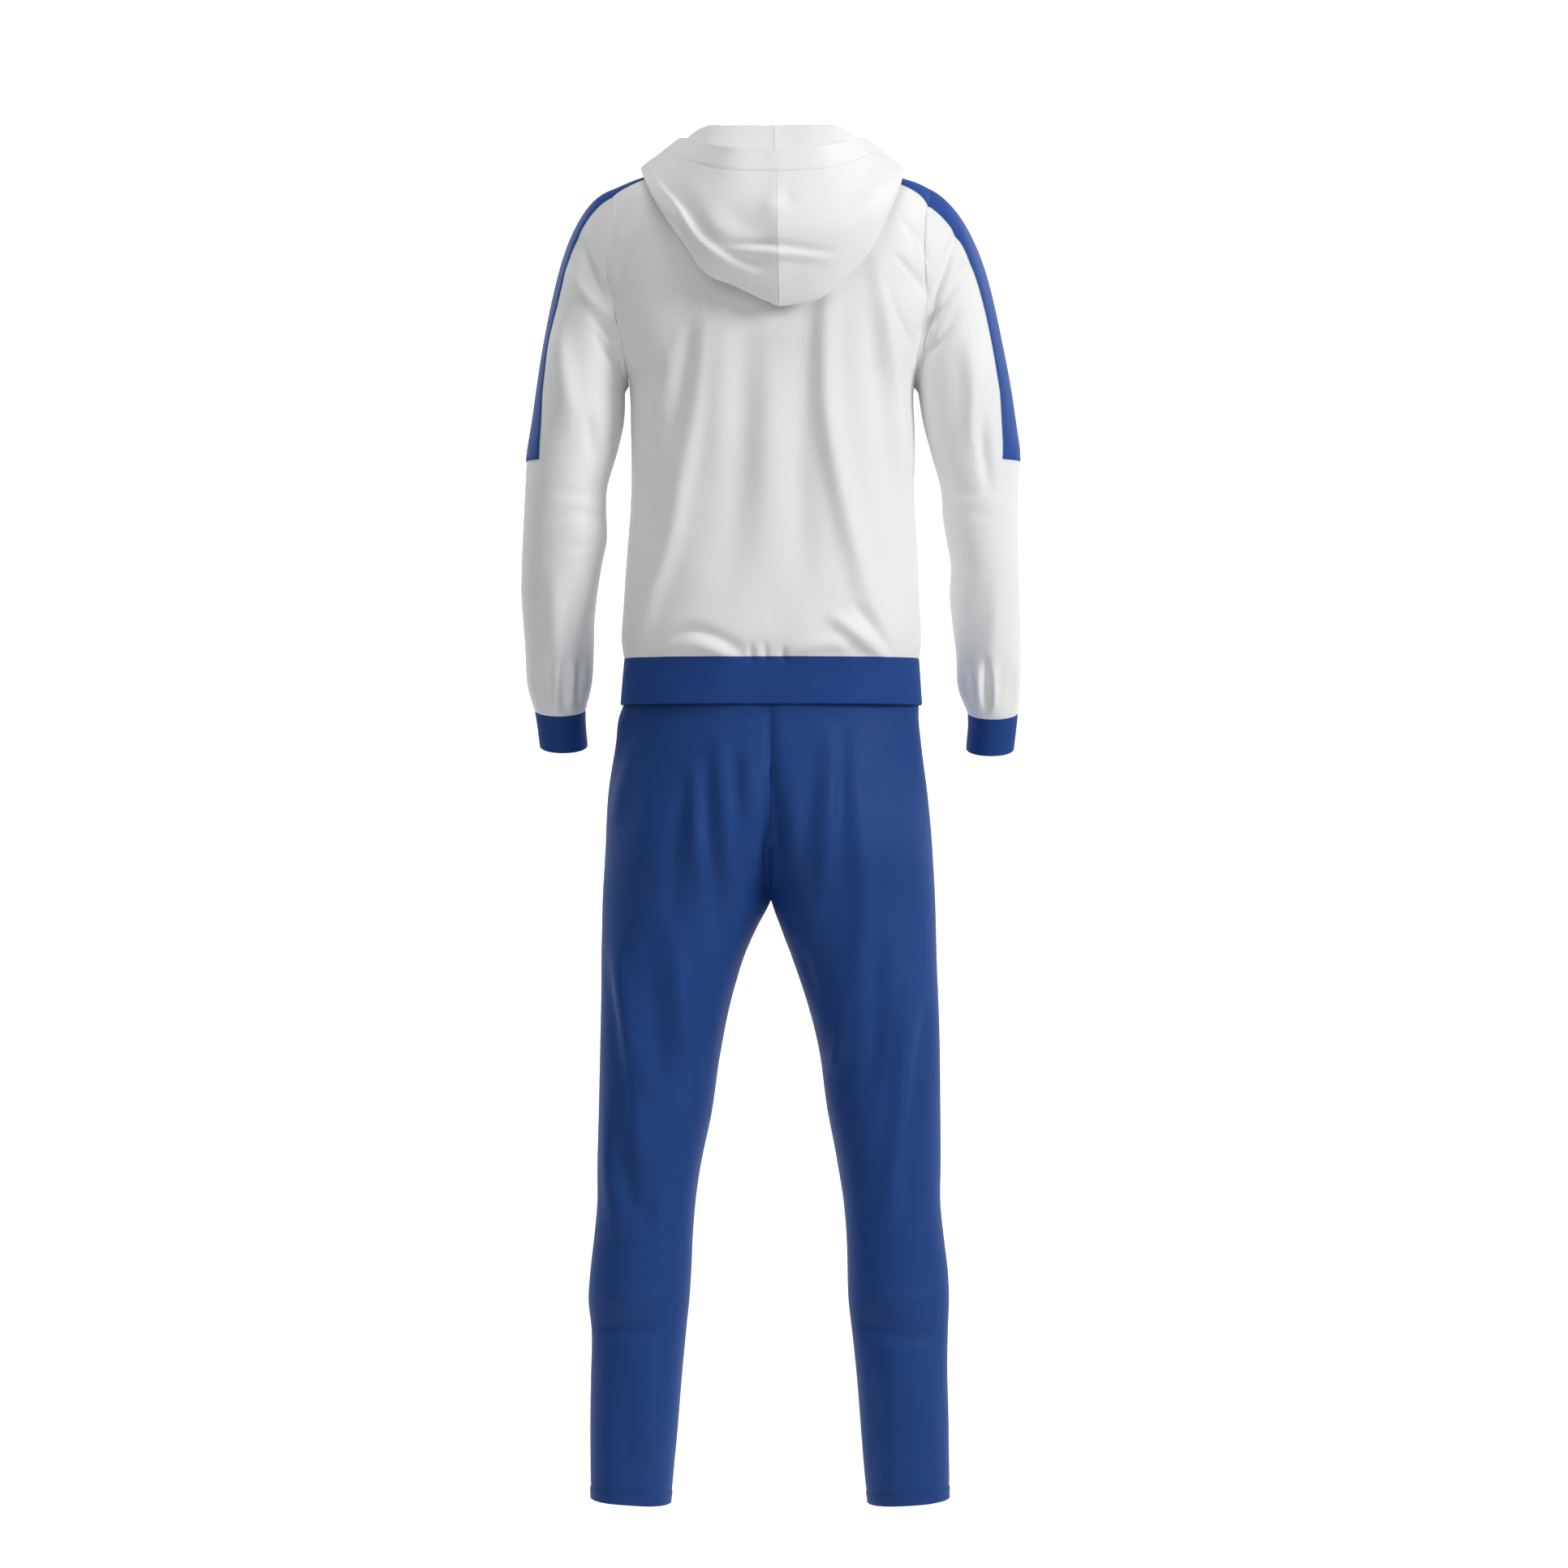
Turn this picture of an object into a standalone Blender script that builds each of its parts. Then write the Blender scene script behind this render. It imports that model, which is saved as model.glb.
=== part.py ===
"""Hooded tracksuit: a pullover top and trousers, hollow and filled out as when worn.

Every piece of cloth is a wall between two grids of points: an outer grid on the garment's
form and an inner grid one wall thickness inside it. Pieces that are sewn together share the
points of their seam, and each is then drawn back from it by half the seam gap. Sizes are in
millimetres. +X is the wearer's left, the front faces -Y, and the origin lies where the
shoulders hold the top.
"""
import bpy
import numpy as np

MM = 0.001
WALL = 2.0
RIB_WALL = 2.6
STRIPE_WALL = 1.2
SEAM_GAP = 0.3

HEM = -597.0
HEM_BOTTOM = -653.0
ARMPIT = -262.0
ROUND = 110.0
TORSO_POWER = 2.5
NECK_SHARE = 0.44
NECK_BACK = 57.0
NECK_FRONT = 22.0
SHOULDER_WIDTH = 197.0

ROWS_BELOW_ARM = 11
ROWS_BESIDE_ARM = 3
ROWS_ROUND = 3
ROWS_STRIPE = 2
ARM_ROWS = ROWS_BESIDE_ARM + ROWS_ROUND + ROWS_STRIPE
NECK_STEPS = 5
ACROSS = np.concatenate((np.linspace(0, NECK_SHARE, NECK_STEPS + 1),
                         (0.58, 0.70, 0.81, 0.90, 0.96, 1.0)))

SHARP_CREASE = 0.6

STRIPE_WIDTH = 60.0
STRIPE_BACK = {"left": (26.0, 50.0), "right": (42.0, 56.0)}
STRIPE_END = -354.0
SLEEVE_START = -272.0
SLEEVE_END = -659.0
CUFF_END = -704.0
ELBOW = -450.0
RIGHT_HANGS_LOWER = 3.5
CAP_ROWS = 5
ROWS_TO_STRIPE_END = 3
ROWS_TO_CUFF = 11
# Sleeve cap: how far its curve runs on from the armhole and into the sleeve, as shares of its
# length, and the slopes that it has at either end.
CAP_LEAVE = 0.18
CAP_ARRIVE = 0.55
CAP_SLOPE = -0.42
CAP_LEAN = 0.15

WAIST_TOP = -560.0
WAIST = -595.0
SEAT = -715.0
CROTCH = -893.0
LEG_HEM = -1629.0
HEM_DIP = 6.0
LEG_POWER = 0.92
LEG_STEPS = 8

HOOD_STATIONS = 2 * NECK_STEPS
HOOD_ROWS = 18
HOOD_LIFT = 9.0

# Shoulder line: distance from the middle, height.
SHOULDER = (("x", "height"), (
    (0, 10), (60, 10), (88, 8), (120, 4), (157, -5), (180, -12.5), (197, -20)))

# Top: height, half widths, depths, and how deep the armhole edge lies (0 at the side seam).
BODY = (("z", "left", "right", "back", "front", "armhole"), (
    (10, 196, 195, 106, 108, 0.52), (-24, 196, 195, 110, 111, 0.52),
    (-60, 191, 188, 114, 113, 0.52), (-100, 195, 187, 117, 115, 0.53),
    (-140, 198, 189, 118, 117, 0.53), (-178, 190, 195, 118, 118, 0.50),
    (-215, 183, 186, 117, 118, 0.43), (-240, 178, 180, 116, 118, 0.31),
    (ARMPIT, 175, 176, 115, 118, 0.0), (-325, 172.7, 177, 112, 115, 0.0),
    (-409, 173.5, 177, 108, 111, 0.0), (-482, 178, 181.5, 110, 111, 0.0),
    (-533, 181.4, 184, 116, 113, 0.0), (-577, 183.3, 186, 121, 115, 0.0),
    (HEM, 180.5, 183.7, 118, 113, 0.0), (-625, 182.5, 185, 119, 114, 0.0),
    (HEM_BOTTOM, 185, 187, 121, 116, 0.0)))

# Arms: height, inner and outer edges, half depth, middle, and how far a ring dips backwards.
ARM = (("z", "left_in", "left_out", "right_in", "right_out", "half_depth", "y", "dip"), (
    (-265, 179.5, 288, 180.5, 294, 66, 2, 0.0), (-305, 181, 293.5, 187, 299.5, 64, 4, 0.0),
    (-345, 189.5, 299.5, 197, 305, 61, 5, 0.0), (-390, 202, 302, 208.7, 303.5, 58, 6, 0.0),
    (-421, 202.5, 303.5, 211, 303, 56, 6, 0.02), (-452, 202.4, 305, 216, 303.8, 54, 4, 0.08),
    (-477, 207.5, 306, 220.7, 305, 53, 0, 0.14), (-520, 214, 307, 220, 307, 50, -9, 0.22),
    (-555, 217.5, 305.5, 224.5, 308.5, 47, -18, 0.25), (-585, 218.8, 304, 229, 310, 45, -26, 0.26),
    (-632, 223, 301.4, 232.8, 310, 42, -39, 0.27), (SLEEVE_END, 230, 294.7, 243.8, 307.5, 33, -47, 0.28),
    (CUFF_END, 229.6, 288.9, 243.2, 303, 29, -60, 0.30)))

# Trousers: height, outer and inner edges, and depths behind and before the side seam.
LEGS = (("z", "left_out", "left_in", "right_out", "right_in", "back", "front"), (
    (WAIST_TOP, 163, 0, 163, 0, 103, 98), (WAIST, 168, 0, 168, 0, 108, 103),
    (-625, 175, 0, 176, 0, 112, 106), (HEM_BOTTOM, 181.1, 0, 182.9, 0, 116, 110),
    (-668, 187, 0, 183, 0, 117, 109), (-700, 191, 0, 186, 0, 121, 109),
    (-758, 199.4, 0, 192.5, 0, 124, 107), (-825, 203.5, 0, 198.6, 0, 121, 103),
    (CROTCH, 207, 0.3, 202, 0.3, 103, 98), (-926, 207.5, 16, 203, 12, 99, 96),
    (-960, 208.3, 31, 204.2, 25, 97, 95), (-1006, 208.7, 46.3, 206, 40, 94, 93),
    (-1085, 210, 62.6, 207.5, 60, 89, 90), (-1152, 212.2, 73, 208, 69, 84, 86),
    (-1216, 213.5, 85.4, 208, 81, 79, 82), (-1268, 214, 92.5, 208.5, 89.4, 74, 78),
    (-1308, 218, 96, 213, 92.6, 71, 76), (-1352, 223, 98, 218.3, 94.3, 69, 74),
    (-1385, 225.2, 100, 220, 95.8, 66, 73), (-1421, 222, 103.7, 219, 100, 67, 71),
    (-1477, 223, 109.5, 218, 105.5, 70, 67), (-1545, 223.4, 115.5, 219.5, 111.3, 65, 62),
    (-1597, 223.3, 121, 220.4, 115.5, 58, 57), (LEG_HEM, 223, 124, 220.5, 119, 54, 54)))
TROUSER_ROWS = (WAIST, -625, HEM_BOTTOM, -668, -700, -735, -770, -805, -835, -858, -877, CROTCH,
                -912, -935, -970, -1015, -1065, -1115, -1165, -1216, -1268, -1308, -1352, -1385,
                -1421, -1477, -1545, -1597, LEG_HEM)

# Hood, lying down on the back: curves from centre back (share 0) to centre front (share 1).
HOOD_STAND = (("share", "x", "y", "z"), (
    (0, -3, 57, 22), (0.2, 42, 50, 24), (0.35, 70, 33, 28), (0.5, 94, 0, 27), (0.7, 76, -62, 0),
    (0.85, 45, -94, -28), (1, 5, -108, -47)))
HOOD_TOP = (("share", "x", "y", "z"), (
    (0, -4, 52, 50), (0.2, 50, 46, 51), (0.35, 80, 28, 52.5), (0.5, 102, -4, 42), (0.7, 84, -64, 14),
    (0.85, 50, -98, -15), (1, 8, -111, -34)))
HOOD_INNER = (("share", "x", "y", "z"), (
    (0, -5, 112, -60), (0.2, 62, 102, -52), (0.35, 102, 74, -28), (0.5, 124, 16, 12),
    (0.6, 120, -32, 6), (0.7, 102, -74, -12), (0.85, 60, -110, -36), (1, 9, -119, -42)))
HOOD_BOTTOM = {
    "left": (("share", "x", "y", "z"), (
        (0, -10, 140, -177), (0.12, 40, 140, -153.5), (0.25, 83, 132, -132), (0.33, 101, 118, -99),
        (0.41, 120, 98, -66), (0.47, 139, 62, -28), (0.53, 150, 22, 6), (0.6, 145, -24, 4),
        (0.7, 124, -80, -36), (0.85, 74, -124, -56), (1, 10, -127, -54))),
    "right": (("share", "x", "y", "z"), (
        (0, 10, 140, -177), (0.12, 58, 138, -167), (0.25, 91, 132, -138), (0.33, 115, 120, -113),
        (0.41, 133, 98, -74), (0.47, 148, 64, -33), (0.53, 156, 24, 4), (0.6, 150, -24, 4),
        (0.7, 124, -80, -36), (0.85, 74, -124, -56), (1, 10, -127, -54)))}
HOOD_OUTER = (("share", "x", "y", "z"), (
    (0, -8, 184, -92), (0.2, 78, 170, -84), (0.35, 124, 134, -56), (0.43, 144, 98, -28),
    (0.5, 156, 46, 2), (0.6, 153, -22, 4), (0.7, 132, -88, -20), (0.85, 80, -130, -42),
    (1, 11, -133, -46)))
HOOD_RIM = (("share", "x", "y", "z"), (
    (0, -6, 150, 11), (0.2, 55, 137, 16), (0.35, 88, 92, 29), (0.43, 104, 50, 39),
    (0.5, 115, 8, 42), (0.7, 100, -74, 12), (0.85, 60, -112, -16), (1, 9, -124, -33)))

# Folds: group of pieces, side, half width, height (troughs are negative), route of (x, z).
FOLDS = (
    ("top", "back", 19, 5.0, ((81, -188), (91, -297), (121, -455), (165, -588))),
    ("top", "back", 13, -3.0, ((86, -198), (94, -257), (106, -327))),
    ("top", "back", 20, 3.0, ((61, -149), (61, -226), (66, -346))),
    ("top", "back", 16, 3.5, ((121, -227), (128, -271), (143, -312))),
    ("top", "back", 18, -3.5, ((-42, -189), (-36, -360), (-38, -519))),
    ("top", "back", 19, 6.0, ((-79, -159), (-72, -198), (-87, -395), (-131, -569))),
    ("top", "back", 15, -5.0, ((-119, -113), (-131, -246), (-150, -395), (-183, -568))),
    ("top", "back", 16, 4.0, ((-126, -112), (-141, -197), (-165, -370))),
    ("top", "back", 18, 4.0, ((130, -590), (91, -575), (45, -588))),
    ("top", "back", 18, 4.0, ((-22, -592), (-60, -582), (-91, -590))),
    ("top", "back", 16, -3.0, ((232, -87), (220, -131), (192, -167))),
    ("top", "back", 16, -3.0, ((-232, -136), (-212, -172), (-187, -207))),
    ("top", "back", 16, 3.0, ((-242, -212), (-247, -332))),
    ("top", "front", 20, 4.0, ((70, -190), (86, -330), (120, -520))),
    ("top", "front", 18, -3.5, ((20, -240), (32, -420), (40, -540))),
    ("top", "front", 20, 4.0, ((-84, -200), (-78, -340), (-118, -540))),
    ("top", "front", 17, -3.5, ((-128, -150), (-140, -300), (-160, -470))),
    ("legs", "back", 16, 3.5, ((91, -731), (90, -816), (79, -883))),
    ("legs", "back", 16, -4.0, ((79, -725), (72, -836), (62, -934))),
    ("legs", "back", 16, 3.5, ((-71, -691), (-73, -748), (-59, -917))),
    ("legs", "back", 16, 3.0, ((-97, -715), (-113, -884), (-106, -985))),
    ("legs", "back", 17, -3.0, ((148, -936), (138, -1054), (128, -1122))),
    ("legs", "back", 17, 3.5, ((-172, -987), (-161, -1089), (-157, -1158))),
    ("legs", "back", 17, 3.5, ((188, -946), (179, -1005), (169, -1090))),
    ("legs", "back", 26, -5.0, ((202, -1405), (150, -1400))),
    ("legs", "back", 26, -5.0, ((-200, -1408), (-140, -1402))),
    ("legs", "front", 18, 3.5, ((100, -740), (96, -850), (110, -1000))),
    ("legs", "front", 18, 3.5, ((-96, -730), (-100, -860), (-116, -1010))),
    ("hood", "back", 15, 4.0, ((145, -15), (115, -41), (75, -94), (12, -138))),
    ("hood", "back", 16, -3.5, ((49, -105), (-7, -103), (-73, -115))),
)

# Which pieces belong together: body, left arm, right arm, hood; left leg, right leg, band.
TOP_GROUPS = (0, 0, 1, 2, 0, 1, 2, 3, 3)
TROUSER_GROUPS = (0, 0, 1, 1, 2)

COLOURS = {"white": (0.84, 0.84, 0.85), "stripe": (0.03, 0.085, 0.33),
           "trousers": (0.033, 0.094, 0.34), "rib": (0.014, 0.047, 0.19)}


def read(table, name, at):
    """Smooth value of a named column where the table's first column equals `at`."""
    names, rows = table
    data = np.array(sorted(rows), dtype=float)
    keys = data[:, 0]
    values = data[:, names.index(name)]
    slopes = np.gradient(values, keys)
    at = np.clip(at, keys[0], keys[-1])
    low = np.clip(np.searchsorted(keys, at) - 1, 0, len(keys) - 2)
    step = keys[low + 1] - keys[low]
    s = (at - keys[low]) / step
    rise = s * s * (3 - 2 * s)
    start = s * (1 - s) ** 2 * step * slopes[low]
    end = s * s * (s - 1) * step * slopes[low + 1]
    return values[low] * (1 - rise) + values[low + 1] * rise + start + end


def signed_power(value, power):
    return np.sign(value) * np.abs(value) ** power


def edge_width(z, share):
    """Half width of the top at height z, on the side that `share` points to."""
    return np.where(share >= 0, read(BODY, "left", z), read(BODY, "right", z))


def depth_share(z, share):
    """How much of the full depth is left at a share of the half width."""
    armhole = np.clip(read(BODY, "armhole", z), 0, 1)
    reach = (1 - armhole ** TORSO_POWER) ** (1 / TORSO_POWER)
    inside = np.clip(1 - (np.abs(share) * reach) ** TORSO_POWER, 0, 1)
    return inside ** (1 / TORSO_POWER)


def torso_point(share, z, round_angle, side):
    """Point of the top's form. The round angle runs from 0 on the wall to 90 at the shoulder."""
    x = share * edge_width(z, share)
    depth = read(BODY, side, z) * depth_share(z, share) * np.cos(np.radians(round_angle))
    y = depth if side == "back" else -depth
    return np.stack(np.broadcast_arrays(x, y, z), axis=-1)


def spread(stops, counts):
    """Values from stop to stop, each stretch cut into its own number of steps."""
    parts = [np.linspace(a, b, n, endpoint=False) for a, b, n in zip(stops, stops[1:], counts)]
    return np.concatenate(parts + [np.array([stops[-1]])])


def body_column(share, side):
    """One column of a body panel, from the hem up to the shoulder seam or neckline."""
    top = read(SHOULDER, "height", abs(share) * SHOULDER_WIDTH)
    neck = NECK_BACK if side == "back" else NECK_FRONT
    toward_neck = min(abs(share) / NECK_SHARE, 1.0)
    end_angle = neck + (90.0 - neck) * toward_neck ** 1.7
    lean = np.clip(share / NECK_SHARE, -1, 1)
    left, right = STRIPE_BACK["left"][0], STRIPE_BACK["right"][0]
    stripe = (left + right) / 2 + lean * (left - right) / 2
    if side == "front":
        stripe = STRIPE_WIDTH - stripe
    full = read(BODY, side, top) * depth_share(top, share)
    stripe_angle = end_angle - np.degrees(np.arcsin(min(stripe / full, 0.95)))
    straight = spread((HEM, ARMPIT, top - ROUND), (ROWS_BELOW_ARM, ROWS_BESIDE_ARM))[:-1]
    angles = spread((0.0, stripe_angle, end_angle), (ROWS_ROUND, ROWS_STRIPE))
    z = np.concatenate((straight, top - ROUND * (1 - np.sin(np.radians(angles)))))
    angles = np.concatenate((np.zeros(len(straight)), angles))
    return torso_point(np.full(len(z), share), z, angles, side)


def body_panel(side):
    """Panel grid: rows from the hem up, columns against the clock as seen from above."""
    shares = np.concatenate((-ACROSS[:0:-1], ACROSS))
    if side == "back":
        shares = shares[::-1]
    return np.stack([body_column(share, side) for share in shares], axis=1)


def hem_band_ring(shares, side):
    rows = np.linspace(HEM_BOTTOM, HEM, 3)
    columns = [torso_point(np.full(3, share), rows, 0.0, side) for share in shares]
    return np.stack(columns, axis=1)


def armhole(back, front, hand):
    """Armhole edge from the armpit over the shoulder and back to the armpit."""
    left = hand == "left"
    back_edge = back[ROWS_BELOW_ARM:, 0 if left else -1]
    front_edge = front[ROWS_BELOW_ARM:, -1 if left else 0]
    first, second = (front_edge, back_edge) if left else (back_edge, front_edge)
    return np.concatenate((first, second[-2::-1]))


def arm_angles(z, hand):
    """Angle of each column of a sleeve ring: 0 outwards, 90 backwards, 180 at the body."""
    along = np.clip((z - SLEEVE_START) / (STRIPE_END - SLEEVE_START), 0, 1)
    shoulder, elbow = STRIPE_BACK[hand]
    behind = shoulder + (elbow - shoulder) * (0.6 + 0.4 * along)
    radius = read(ARM, "half_depth", z)
    back_angle = np.degrees(behind / radius)
    front_angle = np.degrees((STRIPE_WIDTH - behind) / radius)
    counts = (ARM_ROWS - ROWS_STRIPE, ROWS_STRIPE)
    back = spread((180.0, back_angle, 0.0), counts)
    front = -spread((180.0, front_angle, 0.0), counts)
    first, second = (front, back) if hand == "left" else (back, front)
    return np.radians(np.concatenate((first, second[-2::-1])))


def arm_ring(z, hand):
    sign = 1 if hand == "left" else -1
    inner = read(ARM, hand + "_in", z)
    outer = read(ARM, hand + "_out", z)
    angle = arm_angles(z, hand)
    x = sign * ((inner + outer) / 2 + (outer - inner) / 2 * np.cos(angle))
    back = read(ARM, "half_depth", z) * np.sin(angle)
    y = read(ARM, "y", z) + back
    below = np.clip((ELBOW - z) / (ELBOW - SLEEVE_END), 0, 1) if hand == "right" else 0.0
    height = z - back * read(ARM, "dip", z) - below * RIGHT_HANGS_LOWER
    return np.stack((x, y, height), axis=-1)


def sleeve(edge, hand):
    """Sleeve grid, rows from the cuff up to the armhole edge."""
    sign = 1 if hand == "left" else -1
    ring = arm_ring(SLEEVE_START, hand)
    fall = (edge[:, 2].max() - edge[:, 2:]) / np.ptp(edge[:, 2])
    leave = np.concatenate((sign * (1 - 0.75 * fall), 0 * fall, CAP_SLOPE - 0.8 * fall), axis=1)
    arrive = np.array((sign * CAP_LEAN, 0.0, -1.0))
    reach = np.linalg.norm(ring - edge, axis=1)[:, None]
    start = edge + leave * reach * CAP_LEAVE
    end = ring - arrive * reach * CAP_ARRIVE
    cap = []
    for t in np.linspace(0, 1, CAP_ROWS + 1)[:-1]:
        cap.append((1 - t) ** 3 * edge + 3 * t * (1 - t) ** 2 * start
                   + 3 * t * t * (1 - t) * end + t ** 3 * ring)
    heights = spread((SLEEVE_START, STRIPE_END, SLEEVE_END), (ROWS_TO_STRIPE_END, ROWS_TO_CUFF))
    rings = cap + [arm_ring(z, hand) for z in heights]
    return np.stack(rings)[::-1]


def cuff(hand):
    return np.stack([arm_ring(z, hand) for z in np.linspace(CUFF_END, SLEEVE_END, 3)])


def trouser_row(z, side, hand):
    """One row of a trouser panel, from the centre seam or inseam out to the side seam."""
    outer = read(LEGS, hand + "_out", z)
    if z > CROTCH:
        drop = np.clip((SEAT - z) / (SEAT - CROTCH), 0, 1) ** 2
        first = 90.0 + 90.0 * drop
        radius = outer / (1 + abs(np.cos(np.radians(first))) ** LEG_POWER)
        middle = outer - radius
    else:
        first = 180.0
        inner = read(LEGS, hand + "_in", z)
        radius = (outer - inner) / 2
        middle = (outer + inner) / 2
    angle = np.radians(np.linspace(first, 0, LEG_STEPS + 1))
    x = middle + radius * signed_power(np.cos(angle), LEG_POWER)
    y = read(LEGS, side, z) * signed_power(np.abs(np.sin(angle)), LEG_POWER)
    near_hem = np.clip((-1500 - z) / (-1500 - LEG_HEM), 0, 1)
    height = z - near_hem * HEM_DIP * (outer - x) / (2 * radius)
    sign = 1 if hand == "left" else -1
    y = y if side == "back" else -y
    return np.stack((sign * x, y, height), axis=-1)


def trouser_panel(side, hand, heights):
    """Panel grid, rows upwards, columns against the clock as seen from above."""
    grid = np.stack([trouser_row(z, side, hand) for z in sorted(heights)])
    outward_first = (side == "back") == (hand == "left")
    return grid[:, ::-1] if outward_first else grid


def curve_point(table, share, hand):
    sign = 1 if hand == "left" else -1
    x = sign * read(table, "x", share)
    if table is not HOOD_BOTTOM[hand] and hand == "right":
        x = x + 2 * read(table, "x", 0) * (1 - share) ** 2
    return np.array((x, read(table, "y", share), read(table, "z", share)))


def through(points, count):
    """Smooth curve through a few points, cut into even steps along its length."""
    points = np.array(points)
    slopes = np.gradient(points, axis=0)
    slopes[0] = points[1] - points[0]
    slopes[-1] = points[-1] - points[-2]
    fine = []
    for a, b, from_slope, to_slope in zip(points, points[1:], slopes, slopes[1:]):
        for s in np.linspace(0, 1, 24, endpoint=False):
            rise = s * s * (3 - 2 * s)
            fine.append(a * (1 - rise) + b * rise
                        + s * (1 - s) ** 2 * from_slope + s * s * (s - 1) * to_slope)
    fine = np.array(fine + [points[-1]])
    length = np.concatenate(([0], np.cumsum(np.linalg.norm(np.diff(fine, axis=0), axis=1))))
    even = np.linspace(0, length[-1], count + 1)
    return np.stack([np.interp(even, length, fine[:, axis]) for axis in range(3)], axis=1)


def clear_of_torso(points, lift):
    """Moves points that lie on or in the top's form out to `lift` above it."""
    x, y, z = points[..., 0], points[..., 1], points[..., 2]
    top = read(SHOULDER, "height", np.abs(x))
    share = x / edge_width(z, x)
    back = read(BODY, "back", z)
    front = read(BODY, "front", z)
    depth = np.where(y > 0, back, front) * np.maximum(depth_share(z, share), 0.3)
    rise = np.maximum(z - (top - ROUND), 0) / ROUND
    level = np.sqrt((y / depth) ** 2 + rise ** 2)
    scale = np.maximum(1 + lift / 100.0, level) / np.maximum(level, 0.01)
    moved = points.copy()
    moved[..., 1] = y * scale
    moved[..., 2] = np.where(rise > 0, (top - ROUND) + (z - (top - ROUND)) * scale, z)
    return moved


def neckline(back, front, hand):
    """Neck edge of one half, from centre back to centre front."""
    middle = len(ACROSS) - 1
    step = -1 if hand == "left" else 1
    back_edge = back[-1, middle::step][:NECK_STEPS + 1]
    front_edge = front[-1, middle::-step][:NECK_STEPS + 1]
    return np.concatenate((back_edge, front_edge[-2::-1]))


def hood_half(neck, hand):
    """Hood grid, rows from the neck seam to the rim, columns against the clock from above."""
    shares = np.linspace(0, 1, HOOD_STATIONS + 1)
    places = np.linspace(0, 1, len(neck))
    columns = []
    for share in shares:
        foot = np.array([np.interp(share, places, neck[:, axis]) for axis in range(3)])
        tables = (HOOD_STAND, HOOD_TOP, HOOD_INNER, HOOD_BOTTOM[hand], HOOD_OUTER, HOOD_RIM)
        points = [foot] + [curve_point(table, share, hand) for table in tables]
        column = through(points, HOOD_ROWS)
        lift = HOOD_LIFT * np.clip(np.arange(1, HOOD_ROWS + 1) / 4, 0, 1)
        column[1:] = clear_of_torso(column[1:], lift)
        columns.append(column)
    if hand == "left":
        columns = columns[::-1]
    return np.stack(columns, axis=1)


def weld(grids, groups):
    """Outward direction at every point of every grid, shared where grids of a group meet."""
    points, sums = [], []
    for grid, group in zip(grids, groups):
        direction = np.zeros_like(grid)
        face = np.cross(grid[1:, 1:] - grid[:-1, :-1], grid[1:, :-1] - grid[:-1, 1:])
        for rows in (slice(None, -1), slice(1, None)):
            for columns in (slice(None, -1), slice(1, None)):
                direction[rows, columns] += face
        flat = grid.reshape(-1, 3)
        points.append(np.column_stack((flat, np.full(len(flat), group))))
        sums.append(direction.reshape(-1, 3))
    keys = np.round(np.concatenate(points) / 0.02).astype(np.int64)
    _, place = np.unique(keys, axis=0, return_inverse=True)
    place = place.ravel()
    total = np.zeros((place.max() + 1, 3))
    np.add.at(total, place, np.concatenate(sums))
    total = total[place] / np.linalg.norm(total[place], axis=1)[:, None]
    ends = np.cumsum([len(block) for block in points])[:-1]
    return [part.reshape(grid.shape) for part, grid in zip(np.split(total, ends), grids)]


def seam_directions(grids, groups):
    """Directions shared across seams, except where two groups meet in a sharp crease.

    There each group keeps its own, and its points step aside to leave the gap between them.
    """
    shared = weld(grids, np.zeros(len(grids)))
    own = weld(grids, groups)
    points, directions = [], []
    for grid, joined, single in zip(grids, shared, own):
        agree = np.sum(joined * single, axis=-1, keepdims=True)
        directions.append(np.where(agree < SHARP_CREASE, single, joined))
        points.append(grid - single * (1 - agree) * SEAM_GAP)
    return points, directions


def route_distance(x, z, route):
    """Distance from points to a route, and how far along it they lie (0 to 1)."""
    best = np.full(x.shape, 1e9)
    along = np.zeros(x.shape)
    count = len(route) - 1
    for index, (start, end) in enumerate(zip(route, route[1:])):
        dx, dz = end[0] - start[0], end[1] - start[1]
        t = np.clip(((x - start[0]) * dx + (z - start[1]) * dz) / (dx * dx + dz * dz), 0, 1)
        distance = np.hypot(x - start[0] - t * dx, z - start[1] - t * dz)
        nearer = distance < best
        best = np.where(nearer, distance, best)
        along = np.where(nearer, (index + t) / count, along)
    return best, along


def relief(grid, outward, group):
    """Height of the folds at each point of a grid."""
    height = np.zeros(grid.shape[:2])
    for of_group, side, half_width, fold_height, route in FOLDS:
        if of_group != group:
            continue
        facing = outward[..., 1] if side == "back" else -outward[..., 1]
        facing = np.clip((facing - 0.1) / 0.5, 0, 1)
        distance, along = route_distance(grid[..., 0], grid[..., 2], route)
        taper = 0.35 + 0.65 * np.sin(np.pi * along)
        height += fold_height * taper * facing * np.exp(-(distance / half_width) ** 2)
    return height


def drawn_back(grid, outer, wrapped):
    """Points with each edge drawn back from its seam by half the gap, across the edge."""
    moved = outer.copy()
    edges = [(0, 1, 0), (-1, -2, 0)]
    if not wrapped:
        edges += [(0, 1, 1), (-1, -2, 1)]
    for edge, inside, axis in edges:
        rim = np.take(grid, edge, axis=axis)
        away = np.take(grid, inside, axis=axis) - rim
        tangent = np.gradient(rim, axis=0)
        tangent /= np.linalg.norm(tangent, axis=1)[:, None]
        away -= tangent * np.sum(away * tangent, axis=1)[:, None]
        away /= np.linalg.norm(away, axis=1)[:, None]
        if axis == 0:
            moved[edge] += away * SEAM_GAP / 2
        else:
            moved[:, edge] += away * SEAM_GAP / 2
    return moved


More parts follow.
